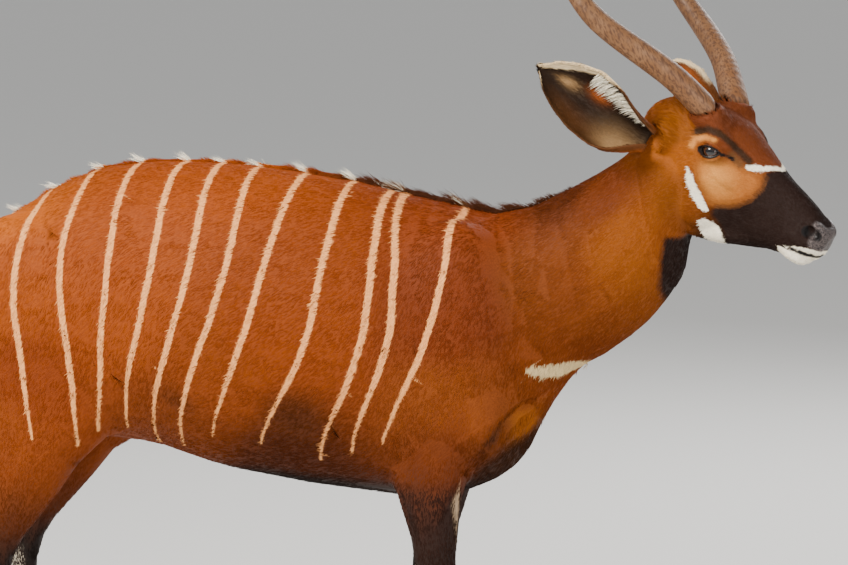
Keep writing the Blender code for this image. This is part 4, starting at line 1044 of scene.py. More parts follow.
def lid_gap(head):
    """Distance outside the edge of the eye's opening, negative within it, told in the head's frame."""
    _, gaze, ahead, rise = eye_axes(1.0, LID_FACING, LID_TILT)
    frame = np.array([[axis.dot(FORWARD), axis.dot(UP), axis.dot(LEFT)] for axis in (gaze, ahead, rise)])
    local = (head - np.array((0.0, 0.0, EYE_SPREAD))) @ frame.T
    length = np.linalg.norm(local, axis=1) + 1e-9
    slant = np.arccos(np.clip(local[:, 0] / length, -1.0, 1.0))
    across = np.hypot(local[:, 1], local[:, 2]) + 1e-9
    over, tall = slant * local[:, 1] / across, slant * local[:, 2] / across
    arch = np.sqrt(1.0 - np.clip(over / LID_HALF[0], -1.0, 1.0) ** 2)
    edge = np.where(tall > 0.0, LID_HALF[1], LID_HALF[2]) * arch * lid_arch(arch)
    gap = np.where(abs(over) < LID_HALF[0], abs(tall) - edge, np.hypot(abs(over) - LID_HALF[0], tall))
    return np.where(length < LID_RADIUS + EYE_MARGIN, gap * LID_RADIUS, FAR_AWAY)


def paint_strokes(colour, face, points, strokes):
    """Lay the strokes over the colour of the face, one after another."""
    for line, edge, strength, tone in strokes:
        colour = paint(colour, face * smooth_between(*edge, to_line(points, line)) * strength, tone)
    return colour


def paint_face(colour, points):
    """Dark muzzle and brow, red cheek, white leaves, chevron, lip and chin, and the fine dark lines, with
    painted shade in the nostrils and the mouth's line.
    """
    plain = in_head(points)
    head = plain + ragged(points, 0.006, 0.0016)
    plain[:, 2], head[:, 2] = abs(plain[:, 2]), abs(head[:, 2])
    across, up, out = head.T
    face = head_share(points) > 0.5
    colour = paint(colour, face * softly_inside(MUZZLE_OUTLINE, across, up), MUZZLE_HAIR)
    cheek = face * (out > CHEEK_OUT) * softly_inside(CHEEK_OUTLINE, across, up, CHEEK_BLUR)
    pale = bell(np.column_stack([across, up]), CHEEK_MIDDLE, CHEEK_REACH)
    colour = paint(colour, cheek, paint(np.tile(CHEEK_HAIR, (len(points), 1)), pale, CHEEK_LIGHT))
    brow_line = np.interp(across, BROW_FORWARD, BROW_UP)
    brow = face & (up > brow_line) & (across > BROW_ENDS[0]) & (across < BROW_ENDS[1])
    colour = paint(colour, brow, BROW_HAIR)
    colour = paint(colour, face & (to_line(head, CHEVRON) < CHEVRON_HALF), WHITE_HAIR)
    colour = paint_strokes(colour, face, head, BROAD_STROKES)
    colour = paint(colour, face * smooth_between(*LID_EDGE, lid_gap(plain)), BLACK_HAIR)
    colour = paint_strokes(colour, face, plain, FINE_STROKES)
    for outline in (UPPER_LEAF, LOWER_LEAF):
        colour = paint(colour, (head[:, 0] > -0.05) & (out > 0.015) & inside(outline, across, up), WHITE_HAIR)
    for outline in (LIP_OUTLINE, CHIN_OUTLINE):
        colour = paint(colour, face & inside(outline, across, up), WHITE_HAIR)
    return paint_strokes(colour, face, plain, MOUTH_STROKE)


def paint_body(colour, points):
    """Dark belly, black throat hair with painted shade under the jaw, the stripes, a painted shadow in the
    groove of the arm, and the crescent.
    """
    body = in_body(points)
    edge = body + ragged(points, 0.008, 0.0035)
    edge[:, 1] = abs(edge[:, 1])
    below = smooth_between(0.675, 0.635, edge[:, 2]) * (abs(body[:, 0] + 0.3) < 0.42)
    colour = paint(colour, below * 0.85, BLACK_HAIR)
    # black throat hair, partly painted shade
    throat = to_line(edge, THROAT_LINE)
    colour = paint(colour, smooth_between(0.062, 0.040, throat), THROAT_BLACK_AND_SHADE)
    colour = paint(colour, stripe_share(points), STRIPE_HAIR)
    # painted shadow along the groove in front of the arm
    colour = paint(colour, smooth_between(0.012, 0.001, to_line(edge, ARM_SHADE_LINE)) * 0.75, THROAT_BLACK_AND_SHADE)
    colour = paint(colour, smooth_between(0.0015, -0.0015, crescent_gap(points)), CRESCENT_HAIR)
    return paint_legs(colour, body, edge)


def paint_legs(colour, body, edge):
    """Black shins and feet, white inside the cannons, a fleck above the knee and a white spot on each foot."""
    z = edge[:, 2]
    fore = body[:, 0] > TRUNK_SPLIT
    right = body[:, 1] < 0.0
    inner = smooth_between(*INNER_EDGE, edge[:, 1])
    colour = paint(colour, smooth_between(*SHIN_EDGE, z) * 0.95, BLACK_HAIR)
    pale = inner * (z > PALE_FOOT) * smooth_between(*PALE_EDGE, z)
    colour = paint(colour, pale, WHITE_HAIR)
    fleck = to_line(edge, FLECK_LINE) < FLECK_HALF
    colour = paint(colour, fleck * 0.8, FLECK_HAIR)
    colour = paint(colour, smooth_between(*FOOT_EDGE, z), BLACK_HAIR)
    foot_fore, foot_hind = (np.where(right, foot["right"], foot["left"]) for foot in (FOOT_FORE, FOOT_HIND))
    front = edge[:, 0] > np.where(fore, foot_fore, foot_hind) + 0.030
    spot = front * (z > SPOT_HEIGHTS[0]) * (z < SPOT_HEIGHTS[1])
    return paint(colour, spot, WHITE_HAIR)


def coat_colour(points):
    """Colour of the hair that grows at each point."""
    return paint_face(paint_body(ground_colour(points), points), points)


print("ground colours", len(BODY_COLOURS) + len(HEAD_COLOURS))

# %% Colours of the ears
EAR_DARK = (0.018, 0.010, 0.006)
EAR_BROWN = (0.075, 0.030, 0.010)
EAR_BACK = (0.300, 0.070, 0.007)
EAR_CREAM = (0.790, 0.620, 0.380)
EAR_PATCH = (0.330, 0.080, 0.014)
EAR_TAN = (0.300, 0.180, 0.080)


def ear_tone(share, turn, inner):
    """Colour of the ear's hair: orange behind and dark towards the tip, dark inside with an orange patch."""
    spots = np.column_stack([share, turn * 0.5])
    tones = np.tile(EAR_BACK, (len(share), 1))
    tones = paint(tones, smooth_between(0.50, 0.78, share - turn * 0.15), EAR_DARK)
    tones = paint(tones, smooth_between(0.60, 0.92, abs(turn)) * 0.85, EAR_BROWN)
    hollow = np.tile(EAR_DARK, (len(share), 1))
    hollow = paint(hollow, smooth_between(-0.10, -0.70, turn) * smooth_between(0.95, 0.60, share), EAR_BROWN)
    hollow = paint(hollow, bell(spots, (0.48, 0.14), 0.085), EAR_PATCH)
    hollow = paint(hollow, bell(spots, (0.74, 0.06), 0.080), EAR_TAN)
    hollow = paint(hollow, bell(spots, (0.18, -0.24), 0.17), EAR_TAN)
    tones = np.where(inner[:, None], hollow, tones)
    start = np.interp(share, (0.40, 0.70, 0.95), (0.93, 0.72, 0.40))
    start = np.where(inner, start, start * 0.3 + 0.64)
    rim = smooth_between(start - 0.06, start + 0.04, turn) * smooth_between(0.36, 0.50, share)
    return paint(tones, rim, EAR_CREAM)


def ear_skin_tones(name, places):
    """Tones of the ear's skin: its grid is known, and a vertex is inside where it lies on the cup's side."""
    shape, *grid = ear_grid()
    shape.free()
    share, turn = (np.tile(values, 2) for values in grid)
    out, _ = ear_out(name, share, turn)
    inner = ((places - ear_points(name, share, turn)) * out).sum(1) < 0.0
    return ear_tone(share, turn, inner)


print("ear tones ready")

# %% [markdown]
# ## Writing materials as sums
# A material is a net of nodes, which is hard to read as code. One small class stands for a value on its
# way through the net, so that sums written in Python add the nodes that work them out.

# %% Shader sums
WHITE_TINT = (1.0, 1.0, 1.0)


class Wire:
    """A socket that numbers, colours or vectors come out of."""

    def __init__(self, finish, socket):
        self.finish = finish
        self.socket = socket

    def sum(self, operation, *others):
        values = {index: other for index, other in enumerate((self,) + others)}
        return self.finish.add("Math", {"operation": operation}, values)

    def __add__(self, other):
        return self.sum("ADD", other)

    def __sub__(self, other):
        return self.sum("SUBTRACT", other)

    def __mul__(self, other):
        return self.sum("MULTIPLY", other)

    def __rsub__(self, other):
        return self.finish.add("Math", {"operation": "SUBTRACT"}, {0: other, 1: self})

    __radd__ = __add__
    __rmul__ = __mul__

    def step(self, low, high):
        """0 below low, 1 above high and a soft step between."""
        return self.finish.add("MapRange", {"interpolation_type": "SMOOTHSTEP"}, {
            "Value": self, "From Min": low, "From Max": high
        })


class Finish:
    """One material and the nodes behind its shader."""

    def __init__(self, name, **values):
        self.material = bpy.data.materials.new(name)
        self.material.use_nodes = True
        self.tree = self.material.node_tree
        self.shader = self.tree.nodes["Principled BSDF"]
        self.set(**values)

    def add(self, kind, settings=None, values=None, output=0):
        """A node of a kind, with its settings, then the values or wires of its sockets."""
        node = self.tree.nodes.new("ShaderNode" + kind)
        for name, value in (settings or {}).items():
            if name == "stops":
                self.fill_ramp(node.color_ramp, value)
            else:
                setattr(node, name, value)
        for name, value in (values or {}).items():
            self.feed(node.inputs[name], value)
        return Wire(self, node.outputs[output])

    def fill_ramp(self, ramp, stops):
        while len(ramp.elements) < len(stops):
            ramp.elements.new(1.0)
        for element, (place, colour) in zip(ramp.elements, stops):
            element.position = place
            element.color = (*colour, 1.0)

    def feed(self, socket, value):
        """Link a wire to a socket, or write a value into it, with full cover for a colour."""
        if isinstance(value, Wire):
            self.tree.links.new(value.socket, socket)
        elif socket.type == "RGBA" and len(value) == 3:
            socket.default_value = (*value, 1.0)
        else:
            socket.default_value = value

    def set(self, **values):
        """Feed the shader's sockets, whose spaces are written as underlines."""
        for name, value in values.items():
            self.feed(self.shader.inputs[name.replace("_", " ")], value)
        return self

    def place(self):
        """Place on the piece, in metres."""
        return self.add("TexCoord", output="Object")

    def attribute(self, name, output="Color"):
        return self.add("Attribute", {"attribute_name": name}, output=output)

    def share(self, name):
        return self.attribute(name, "Fac")

    def combed(self, way, size, stretch=9.0):
        """Noise drawn out into streaks along a direction."""
        place = self.place()
        along = self.add("VectorMath", {"operation": "DOT_PRODUCT"}, {0: place, 1: way}, output="Value")
        shift = self.add("VectorMath", {"operation": "SCALE"}, {0: way, "Scale": along * (1.0 - 1.0 / stretch)})
        return self.noise(size, self.add("VectorMath", {"operation": "SUBTRACT"}, {0: place, 1: shift}))

    def noise(self, size, place=None, detail=3.0, roughness=0.55):
        """Soft random value, about as large as size in metres."""
        values = {"Vector": place or self.place(), "Scale": 1.0 / size}
        return self.add("TexNoise", None, values | {"Detail": detail, "Roughness": roughness})

    def blend(self, share, first, second, blend_type="MIX"):
        """Colour between two by a share, or first with second laid over it in another way."""
        node = {"data_type": "RGBA", "blend_type": blend_type}
        return self.add("Mix", node, {0: share, 6: first, 7: second}, output=2)

    def shaded(self, colour, share, dark, light):
        """A colour darkened and lightened between two factors by a share."""
        return self.blend(1.0, colour, self.blend(share, dark, light), "MULTIPLY")

    def bump(self, height, depth, strength=1.0):
        return self.add("Bump", None, {"Height": height, "Distance": depth, "Strength": strength})

    def wear(self, piece):
        piece.data.materials.clear()
        piece.data.materials.append(self.material)
        return piece


print("shader sums ready")

# %% [markdown]
# ## Skin finish
# Between the tufts the skin shows as the shadowed foot of the hair, so it has the hair's colour, darker,
# with a fine grain that runs along the lie. The bare nose is dark, moist and finely cobbled, with a painted
# highlight on its cobbles and painted shade in the nostrils.

# %% Paint the skin
# height of the bare pad's edge and how far forward it starts there
PAD_HEIGHTS = (-0.034, -0.018, 0.007, 0.030)
PAD_STARTS = (0.240, 0.228, 0.222, 0.222)
PIT_EDGE = (0.0115, 0.0080)
NOSE_DARK = (0.018, 0.015, 0.015)
# tone of the cobbles' tops: a painted highlight on the moist pad
NOSE_HIGHLIGHT = (0.120, 0.096, 0.090)
SHADE_LOW = (0.78, 0.74, 0.70)
SHADE_HIGH = (1.04, 1.04, 1.04)
TRUNK_LIE = (-0.80, 0.0, -0.60)
LEG_LIE = (0.0, 0.0, -1.0)
COBBLE_SCALE = 520.0


def write_colours(mesh, name, colours):
    layer = mesh.color_attributes.new(name, "FLOAT_COLOR", "POINT")
    full = np.column_stack([colours, np.ones(len(colours))]).astype(np.float32)
    layer.data.foreach_set("color", full.ravel())


def write_share(mesh, name, values):
    layer = mesh.attributes.new(name, "FLOAT", "POINT")
    layer.data.foreach_set("value", np.asarray(values, dtype=np.float32))


def nose_share(points):
    """1 on the bare pad of the nose, 0 on hair."""
    head = in_head(points)
    across, up, out = head[:, 0], head[:, 1], abs(head[:, 2])
    edge = np.interp(up, PAD_HEIGHTS, PAD_STARTS)
    front = smooth_between(-0.003, 0.003, across - edge - 0.020 * smooth_between(0.026, 0.006, out))
    return front * smooth_between(-0.036, -0.031, up) * (np.linalg.norm(head, axis=1) < 0.32)


places = read_points(skin.data)
tones = coat_colour(places)
bare = nose_share(places)
for name, (start, end) in ear_ranges.items():
    tones[start:end] = ear_skin_tones(name, places[start:end])
write_colours(skin.data, "hair_colour", tones)
write_share(skin.data, "stripe_gap", stripe_gap(places))
write_share(skin.data, "on_leg", smooth_between(0.66, 0.54, in_body(places)[:, 2]))
write_share(skin.data, "on_head", head_share(places))
write_share(skin.data, "bare", bare)
local = in_head(places)
local[:, 2] = abs(local[:, 2])
# pit: the nostril's opening, painted black as shade
write_share(skin.data, "pit", smooth_between(*PIT_EDGE, to_line(local, NOSTRIL_LINE)))

skin_finish = Finish("skin", Specular_IOR_Level=0.12)
trunk_grain = skin_finish.combed(TRUNK_LIE, 0.0022)
leg_grain = skin_finish.combed(LEG_LIE, 0.0015)
head_grain = skin_finish.combed(tuple(FORWARD), 0.0010)
leg_part, head_part = skin_finish.share("on_leg"), skin_finish.share("on_head")
grain = trunk_grain * (1.0 - leg_part) + leg_grain * leg_part
grain = grain * (1.0 - head_part) + head_grain * head_part
patches = skin_finish.noise(0.03)
in_stripe = 1.0 - skin_finish.share("stripe_gap").step(-STRIPE_EDGE, STRIPE_EDGE)
marked = skin_finish.blend(in_stripe, skin_finish.attribute("hair_colour"), STRIPE_HAIR)
haired = skin_finish.shaded(marked, grain.step(0.3, 0.7), SHADE_LOW, SHADE_HIGH)
cobbles = skin_finish.add("TexVoronoi", {"feature": "SMOOTH_F1"}, {
    "Vector": skin_finish.place(), "Scale": COBBLE_SCALE
})
# cobbles lighter on top as a painted highlight, dark between them
nose_tone = skin_finish.blend(cobbles.step(0.1, 0.7), NOSE_HIGHLIGHT, NOSE_DARK)
# painted shade inside the nostrils
nose_tone = skin_finish.blend(skin_finish.share("pit"), nose_tone, PAD_BLACK_AND_SHADE)
bare_share = skin_finish.share("bare")
skin_finish.set(
    Base_Color=skin_finish.blend(bare_share, haired, nose_tone),
    Roughness=0.62 + patches * 0.10 - bare_share * 0.34,
    Normal=skin_finish.bump(grain * (1.0 - bare_share) + (1.0 - cobbles) * bare_share, 0.0006, 0.7),
)
skin_finish.wear(skin)
print("skin painted")

# %% [markdown]
# ## Tufts
# A tuft is a flat spindle of six triangles: a point in the skin, a ridge near the middle and a
# fine tip. Arrays hold all roots of a region at once, and one mesh is made of them. Each tuft lies along
# the comb, with small random turns, and is a patch of the piece's unwrap at the place of its root.

# %% Grow tufts
ROOT_DEPTH = 0.0010
TUFT_MIDDLE = 0.42
TUFT_RIDGE = 0.35
TUFT_ROUND = 0.35
# how much tufts of these lengths differ in shade, and the painted shade of a tuft's five corners, darkest at
# the root
SHADE_LENGTHS = (0.004, 0.012, 0.020)
SHADE_SPREAD = (0.085, 0.055, 0.090)
TUFT_SHADE = np.array([0.86, 0.97, 1.0, 0.97, 1.05])
TUFT_FACES = np.array([(0, 1, 2), (0, 2, 3), (0, 3, 1), (1, 4, 2), (2, 4, 3), (3, 4, 1)])
TUFT_PATCH = np.array([(0.0, -0.0015), (-0.0015, 0.0), (0.0, 0.0004), (0.0015, 0.0), (0.0, 0.0015)])
STRAND_DARK = (0.88, 0.86, 0.84)
DRIFT_TINT = (0.30, 0.24, 0.20)
random = np.random.default_rng(7)


def unit(vectors):
    return vectors / (np.linalg.norm(vectors, axis=1)[:, None] + 1e-12)


def mesh_of(name, corners, faces):
    """Mesh from arrays of corners and triangles."""
    mesh = bpy.data.meshes.new(name)
    mesh.vertices.add(len(corners))
    mesh.loops.add(faces.size)
    mesh.polygons.add(len(faces))
    mesh.vertices.foreach_set("co", corners.astype(np.float32).ravel())
    mesh.loops.foreach_set("vertex_index", faces.astype(np.int32).ravel())
    mesh.polygons.foreach_set("loop_start", (np.arange(len(faces)) * 3).astype(np.int32))
    mesh.polygons.foreach_set("use_smooth", [True] * len(faces))
    mesh.update(calc_edges=True)
    return mesh


def grow(name, roots, normals, flow, length, width, lift, colours, unwrap, mess=0.16):
    """One piece of tufts from arrays of their roots and sizes."""
    count = len(roots)
    flow = unit(flow - normals * (flow * normals).sum(1)[:, None])
    across = np.cross(normals, flow)
    flow = unit(flow + across * random.normal(0.0, mess, count)[:, None])
    across = np.cross(normals, flow)
    length = length * random.uniform(0.75, 1.25, count)
    lift = lift * random.uniform(0.7, 1.35, count)
    width = width * random.uniform(0.8, 1.2, count)
    rise = normals * lift[:, None]
    middle = roots + (flow + rise) * (length * TUFT_MIDDLE)[:, None]
    tip = roots + (flow + rise * 0.95 + across * random.normal(0.0, 0.06, count)[:, None]) * length[:, None]
    half = across * (width * 0.5)[:, None]
    ridge = middle + normals * (width * TUFT_RIDGE)[:, None]
    corners = np.stack([roots - normals * ROOT_DEPTH, middle - half, ridge, middle + half, tip], axis=1)
    lean = across * TUFT_ROUND
    facing = np.stack([normals, normals - lean, normals, normals + lean, normals + flow * 0.1], axis=1)
    shade = 1.0 + random.normal(0.0, 1.0, count) * np.interp(length, SHADE_LENGTHS, SHADE_SPREAD)
    # darker towards each tuft's root: painted shade
    tones = colours[:, None, :] * shade[:, None, None] * TUFT_SHADE[None, :, None]
    hair_piece(name, corners, TUFT_FACES, tones, unwrap, TUFT_PATCH, facing)


def hair_piece(name, corners, triangles, tones, unwrap, patch, facing=None):
    """One piece of the coat from the corners and tones of its tufts, which all have the same triangles."""
    count, size = corners.shape[:2]
    faces = (triangles[None] + (np.arange(count) * size)[:, None, None]).reshape(-1, 3)
    mesh = mesh_of(name, corners.reshape(-1, 3), faces)
    if facing is not None:
        mesh.normals_split_custom_set_from_vertices(unit(facing.reshape(-1, 3)))
    write_colours(mesh, "hair_colour", np.clip(tones, 0.0, 1.0).reshape(-1, 3))
    map_tufts(mesh, unwrap, faces, patch)
    piece = add_piece(name, mesh)
    coat_finish.wear(piece)
    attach(piece, "root")
    print(name, count, "tufts", len(faces), "triangles")


def map_tufts(mesh, unwrap, faces, patch):
    """The OFBake map: each tuft is a small patch at its root's place."""
    spots = unwrap[:, None, :] + patch[None]
    layer = mesh.uv_layers.new(name="OFBake")
    flat = spots.reshape(-1, 2)[faces.ravel()]
    layer.data.foreach_set("uv", flat.astype(np.float32).ravel())


coat_finish = Finish("coat", Specular_IOR_Level=0.05)
strand = coat_finish.noise(0.0011, detail=2.0)
drift = coat_finish.noise(0.055, detail=2.0)
coat_tone = coat_finish.attribute("hair_colour")
coat_tone = coat_finish.shaded(coat_tone, strand.step(0.25, 0.75), STRAND_DARK, WHITE_TINT)
coat_finish.set(
    Base_Color=coat_finish.blend(drift.step(0.35, 0.65) * 0.35, coat_tone, DRIFT_TINT, "SOFT_LIGHT"),
    Roughness=0.54 + strand * 0.16,
)
print("coat finish ready")

# %% [markdown]
# ## Roots on the skin
# Roots are drawn at random over the skin's triangles, thick on the face and the feet, where the tufts are
# small, and thinner on the trunk, where they are long. None grows on the eyes, in the mouth or nostrils,
# under a horn or a hoof, or on the bare nose.

# %% Draw the roots
CORONET = 0.052
HORN_FOOT = ((-0.056, 0.033, 0.047), (-0.056, 0.058, 0.047))
EAR_FOOT = ((-0.106, -0.045, 0.078), (-0.144, -0.043, 0.105))
# lines in the head's frame, and how near to them no tuft grows
BALD_LINES = [(HORN_FOOT, 0.0220), (MOUTH_LINE, 0.0052), (NOSTRIL_LINE, 0.0120), (EAR_FOOT, 0.017)]
BALD_LID = 0.0022
BALD_NOSE = 0.4
CHART_START = 0.03
CHART_SPAN = 0.94


def hairless(points):
    """Places where no tuft grows."""
    head = in_head(points)
    head[:, 2] = abs(head[:, 2])
    eye = (lid_gap(head) < BALD_LID) & (head[:, 2] > 0.06)
    bald = eye | (nose_share(points) > BALD_NOSE) | (points[:, 2] < CORONET)
    for line, reach in BALD_LINES:
        bald |= to_line(head, line) < reach
    return bald


def triangle_arrays(mesh):
    """Corner indices of the mesh's triangles."""
    mesh.calc_loop_triangles()
    flat = np.empty(len(mesh.loop_triangles) * 3, dtype=np.int32)
    mesh.loop_triangles.foreach_get("vertices", flat)
    return flat.reshape(-1, 3)


def scatter(places, normals, triangles, count, weight):
    """Roots and normals at random over triangles, by area times a weight at each triangle's middle."""
    corners = places[triangles]
    first_side, second_side = corners[:, 1] - corners[:, 0], corners[:, 2] - corners[:, 0]
    area = np.linalg.norm(np.cross(first_side, second_side), axis=1) / 2.0
    chance = area * weight
    chosen = random.choice(len(triangles), size=count, p=chance / chance.sum())
    first, second = random.random(count), random.random(count)
    over = first + second > 1.0
    first[over], second[over] = 1.0 - first[over], 1.0 - second[over]
    shares = np.column_stack([1.0 - first - second, first, second])
    spots = (corners[chosen] * shares[:, :, None]).sum(1)
    out = unit((normals[triangles[chosen]] * shares[:, :, None]).sum(1))
    return spots, out


def round_unwrap(points, start, end, side):
    """Unwrap of a rounded part: along its axis, and round it from a side that points away from the seam."""
    start, end = np.array(start), np.array(end)
    axis = unit((end - start)[None])[0]
    away = points - start
    along = away @ axis / np.linalg.norm(end - start)
    front = np.array(side) - axis * np.dot(side, axis)
    front = front / np.linalg.norm(front)
    other = np.cross(axis, front)
    angle = np.arctan2(away @ other, away @ front) / (2.0 * math.pi) + 0.5
    return CHART_START + CHART_SPAN * np.column_stack([np.clip(along, 0.0, 1.0), angle])


skin_places = read_points(skin.data)
skin_normals = read_normals(skin.data)
skin_triangles = triangle_arrays(skin.data)
middles = skin_places[skin_triangles].mean(1)
on_body = skin_triangles[:, 0] < body_count
print("roots can fall on", int(on_body.sum()), "triangles")

# %% [markdown]
# ## The coat in pieces
# The coat is grown region by region. Within a region a triangle gets more roots where its tufts are small,
# so the cover is equally thick everywhere.

# %% Grow the short coat
HEAD_AXIS = (at_head(-0.22, -0.07, 0.0), at_head(0.30, -0.02, 0.0))
NECK_AXIS = (at_body(0.10, 0.0, 0.95), at_body(0.50, 0.0, 1.24))
TRUNK_AXIS = (at_body(-1.06, 0.0, 0.92), at_body(0.20, 0.0, 0.92))
NECK_START = 0.14
LEG_TOP = 0.60
COLOUR_AT = 0.45
NECK_TUFTS = 22000
FACE_TUFTS = 26000
BARREL_TUFTS = 23000
HAUNCH_TUFTS = 22000
LEG_TUFTS = 7500


def side_word(side):
    return "right" if side < 0.0 else "left"


def coat_regions():
    """Name, triangles, number of tufts, and the axis and side of the unwrap for each region."""
    body = in_body(middles)
    head = in_head(middles)
    face = on_body & (head_share(middles) > 0.5)
    rest = on_body & ~face
    leg = rest & (body[:, 2] < LEG_TOP)
    neck = rest & ~leg & (body[:, 0] > NECK_START)
    trunk = rest & ~leg & ~neck
    fore = body[:, 0] > TRUNK_SPLIT
    rows = [("coat_neck", neck, NECK_TUFTS, NECK_AXIS, Vector((0.4, 0.0, -1.0)))]
    for side in (-1.0, 1.0):
        word = side_word(side)
        here = body[:, 1] * side > 0.0
        out = Vector((0.0, side, 0.0))
        rows.append(("coat_face_" + word, face & (head[:, 2] * side > 0.0), FACE_TUFTS, HEAD_AXIS, LEFT * side))
        rows.append(("coat_barrel_" + word, trunk & here & fore, BARREL_TUFTS, TRUNK_AXIS, out))
        rows.append(("coat_haunch_" + word, trunk & here & ~fore, HAUNCH_TUFTS, TRUNK_AXIS, out))
        for end, x, chosen in (("fore", 0.0, fore), ("hind", -0.88, ~fore)):
            axis = (at_body(x, 0.11 * side, LEG_TOP), at_body(x, 0.11 * side, 0.0))
            rows.append(("coat_leg_" + end + "_" + word, leg & here & chosen, LEG_TUFTS, axis, out))
    return rows


def grow_short(name, chosen, count, axis, side):
    """Short tufts over the chosen triangles of the skin."""
    _, sizes = comb(middles[chosen])
    weight = 1.0 / (sizes[:, 0] * sizes[:, 1])
    roots, out = scatter(skin_places, skin_normals, skin_triangles[chosen], count, weight)
    bald = hairless(roots)
    roots, out = roots[~bald], out[~bald]
    flow, sizes = comb(roots)
    ahead = unit(flow - out * (flow * out).sum(1)[:, None])
    colours = coat_colour(roots + ahead * (sizes[:, 0] * COLOUR_AT)[:, None])
    grow(name, roots, out, flow, *sizes.T, colours, round_unwrap(roots, *axis, side))


for region in coat_regions():
    grow_short(*region)

# %% [markdown]
# ## Long hair
# A long strand is a thin three-sided spindle that bends: a root, two rings and a tip on a line that droops.
# It makes the crest of the back, the brush of the tail, the fringe of the ears, and the lashes.

# %% Long strands
STRAND_FACES = np.array([
    (0, 2, 1), (0, 3, 2), (0, 1, 3), (1, 2, 5), (1, 5, 4), (2, 3, 6), (2, 6, 5), (3, 1, 4), (3, 4, 6),
    (4, 5, 7), (5, 6, 7), (6, 4, 7),
])
STRAND_PATCH = np.array([
    (0.0, -0.0015), (-0.0015, 0.0), (0.0, 0.0), (0.0015, 0.0), (-0.0010, 0.0008), (0.0, 0.0009),
    (0.0010, 0.0008), (0.0, 0.0015),
])
# share of the length and girth of the two rings, and the painted shade of a strand's eight corners, darkest at
# the root
STRAND_RINGS = ((0.28, 1.0), (0.64, 0.72))
STRAND_SHADE = np.array([0.70, 0.90, 0.90, 0.90, 1.0, 1.0, 1.0, 1.1])
STRAND_ROOT_DEPTH = 0.0015


def grow_long(name, roots, ways, droop, length, width, colours, unwrap, mess=0.12):
    """One piece of long strands that start along ways and bend by droop."""
    count = len(roots)
    ways = unit(unit(ways) + random.normal(0.0, mess, (count, 3)))
    length = length * random.uniform(0.7, 1.2, count)
    width = width * random.uniform(0.8, 1.2, count)
    across = unit(np.cross(ways, np.where(abs(ways[:, 2:]) > 0.9, (1.0, 0.0, 0.0), (0.0, 0.0, 1.0))))
    other = np.cross(ways, across)
    corners = [roots - ways * STRAND_ROOT_DEPTH]
    for share, girth in STRAND_RINGS:
        middle = roots + (ways * share + droop * share * share) * length[:, None]
        for turn in (0.0, 2.0 * math.pi / 3.0, 4.0 * math.pi / 3.0):
            around = across * math.cos(turn) + other * math.sin(turn)
            corners.append(middle + around * (width * girth * 0.5)[:, None])
    corners.append(roots + (ways + droop) * length[:, None])
    shade = random.normal(1.0, 0.12, count)[:, None, None]
    # darker towards each strand's root: painted shade
    tones = colours[:, None, :] * shade * STRAND_SHADE[None, :, None]
    hair_piece(name, np.stack(corners, axis=1), STRAND_FACES, tones, unwrap, STRAND_PATCH)


# %% Crest of the back
# x and length of the hair there
CREST_LINE = [
    (-0.960, 0.008), (-0.900, 0.012), (-0.550, 0.014), (-0.380, 0.018), (-0.250, 0.028), (-0.120, 0.038),
    (0.020, 0.048), (0.100, 0.040), (0.180, 0.020), (0.230, 0.010),
]
CREST_STRANDS = 5600
CREST_HALF = 0.016
CREST_DARK = (0.050, 0.018, 0.008)
LOCK_STRANDS = 52
LOCK_HALF = 0.0070
LOCK_LENGTH = (0.032, 0.046)
LOCK_WIDTH = 0.0008
CREST_WIDE = 0.0010
skin_tree = BVHTree.FromPolygons([Vector(place) for place in skin_places], skin_triangles.tolist())


def on_spine(x, y):
    """Places on the skin of the back, straight below places above it."""
    drop = Vector((0.0, 0.0, -1.0))
    rows = []
    for ahead, side in zip(x, y):
        start = at_body(ahead, side, 1.60)
        hit = skin_tree.ray_cast(start, drop)[0]
        rows.append(hit if hit else at_body(ahead, side, float(back_height(ahead))))
    return np.array(rows) - (0.0, 0.0, 0.001)


def crest_chart(x, y):
    return np.column_stack([np.interp(x, (-1.0, 0.3), (0.03, 0.97)), 0.5 + y / CREST_HALF * 0.45])


def grow_crest():
    """Short upright hair along the spine, longer and darker towards the shoulder."""
    x = random.uniform(CREST_LINE[0][0], CREST_LINE[-1][0], CREST_STRANDS)
    y = random.normal(0.0, 0.45, CREST_STRANDS).clip(-1.0, 1.0) * CREST_HALF
    roots = on_spine(x, y)
    clump = np.round(x / 0.009 + random.normal(0.0, 0.3, CREST_STRANDS))
    lean = -0.85 + 0.22 * np.sin(clump * 12.9) + random.normal(0.0, 0.12, CREST_STRANDS)
    length = np.interp(x, *zip(*CREST_LINE))
    length *= (0.80 + 0.28 * np.sin(clump * 7.3)) * (1.0 - 0.45 * abs(y) / CREST_HALF)
    ways = np.column_stack([lean, y / CREST_HALF * 0.50, np.full(len(x), 0.62)])
    droop = np.tile((-0.15, 0.0, -0.10), (len(x), 1))
    colours = paint(coat_colour(roots), smooth_between(-0.36, -0.12, x) * 0.92, CREST_DARK)
    grow_long("coat_crest", roots, ways, droop, length, CREST_WIDE, colours, crest_chart(x, y), 0.09)


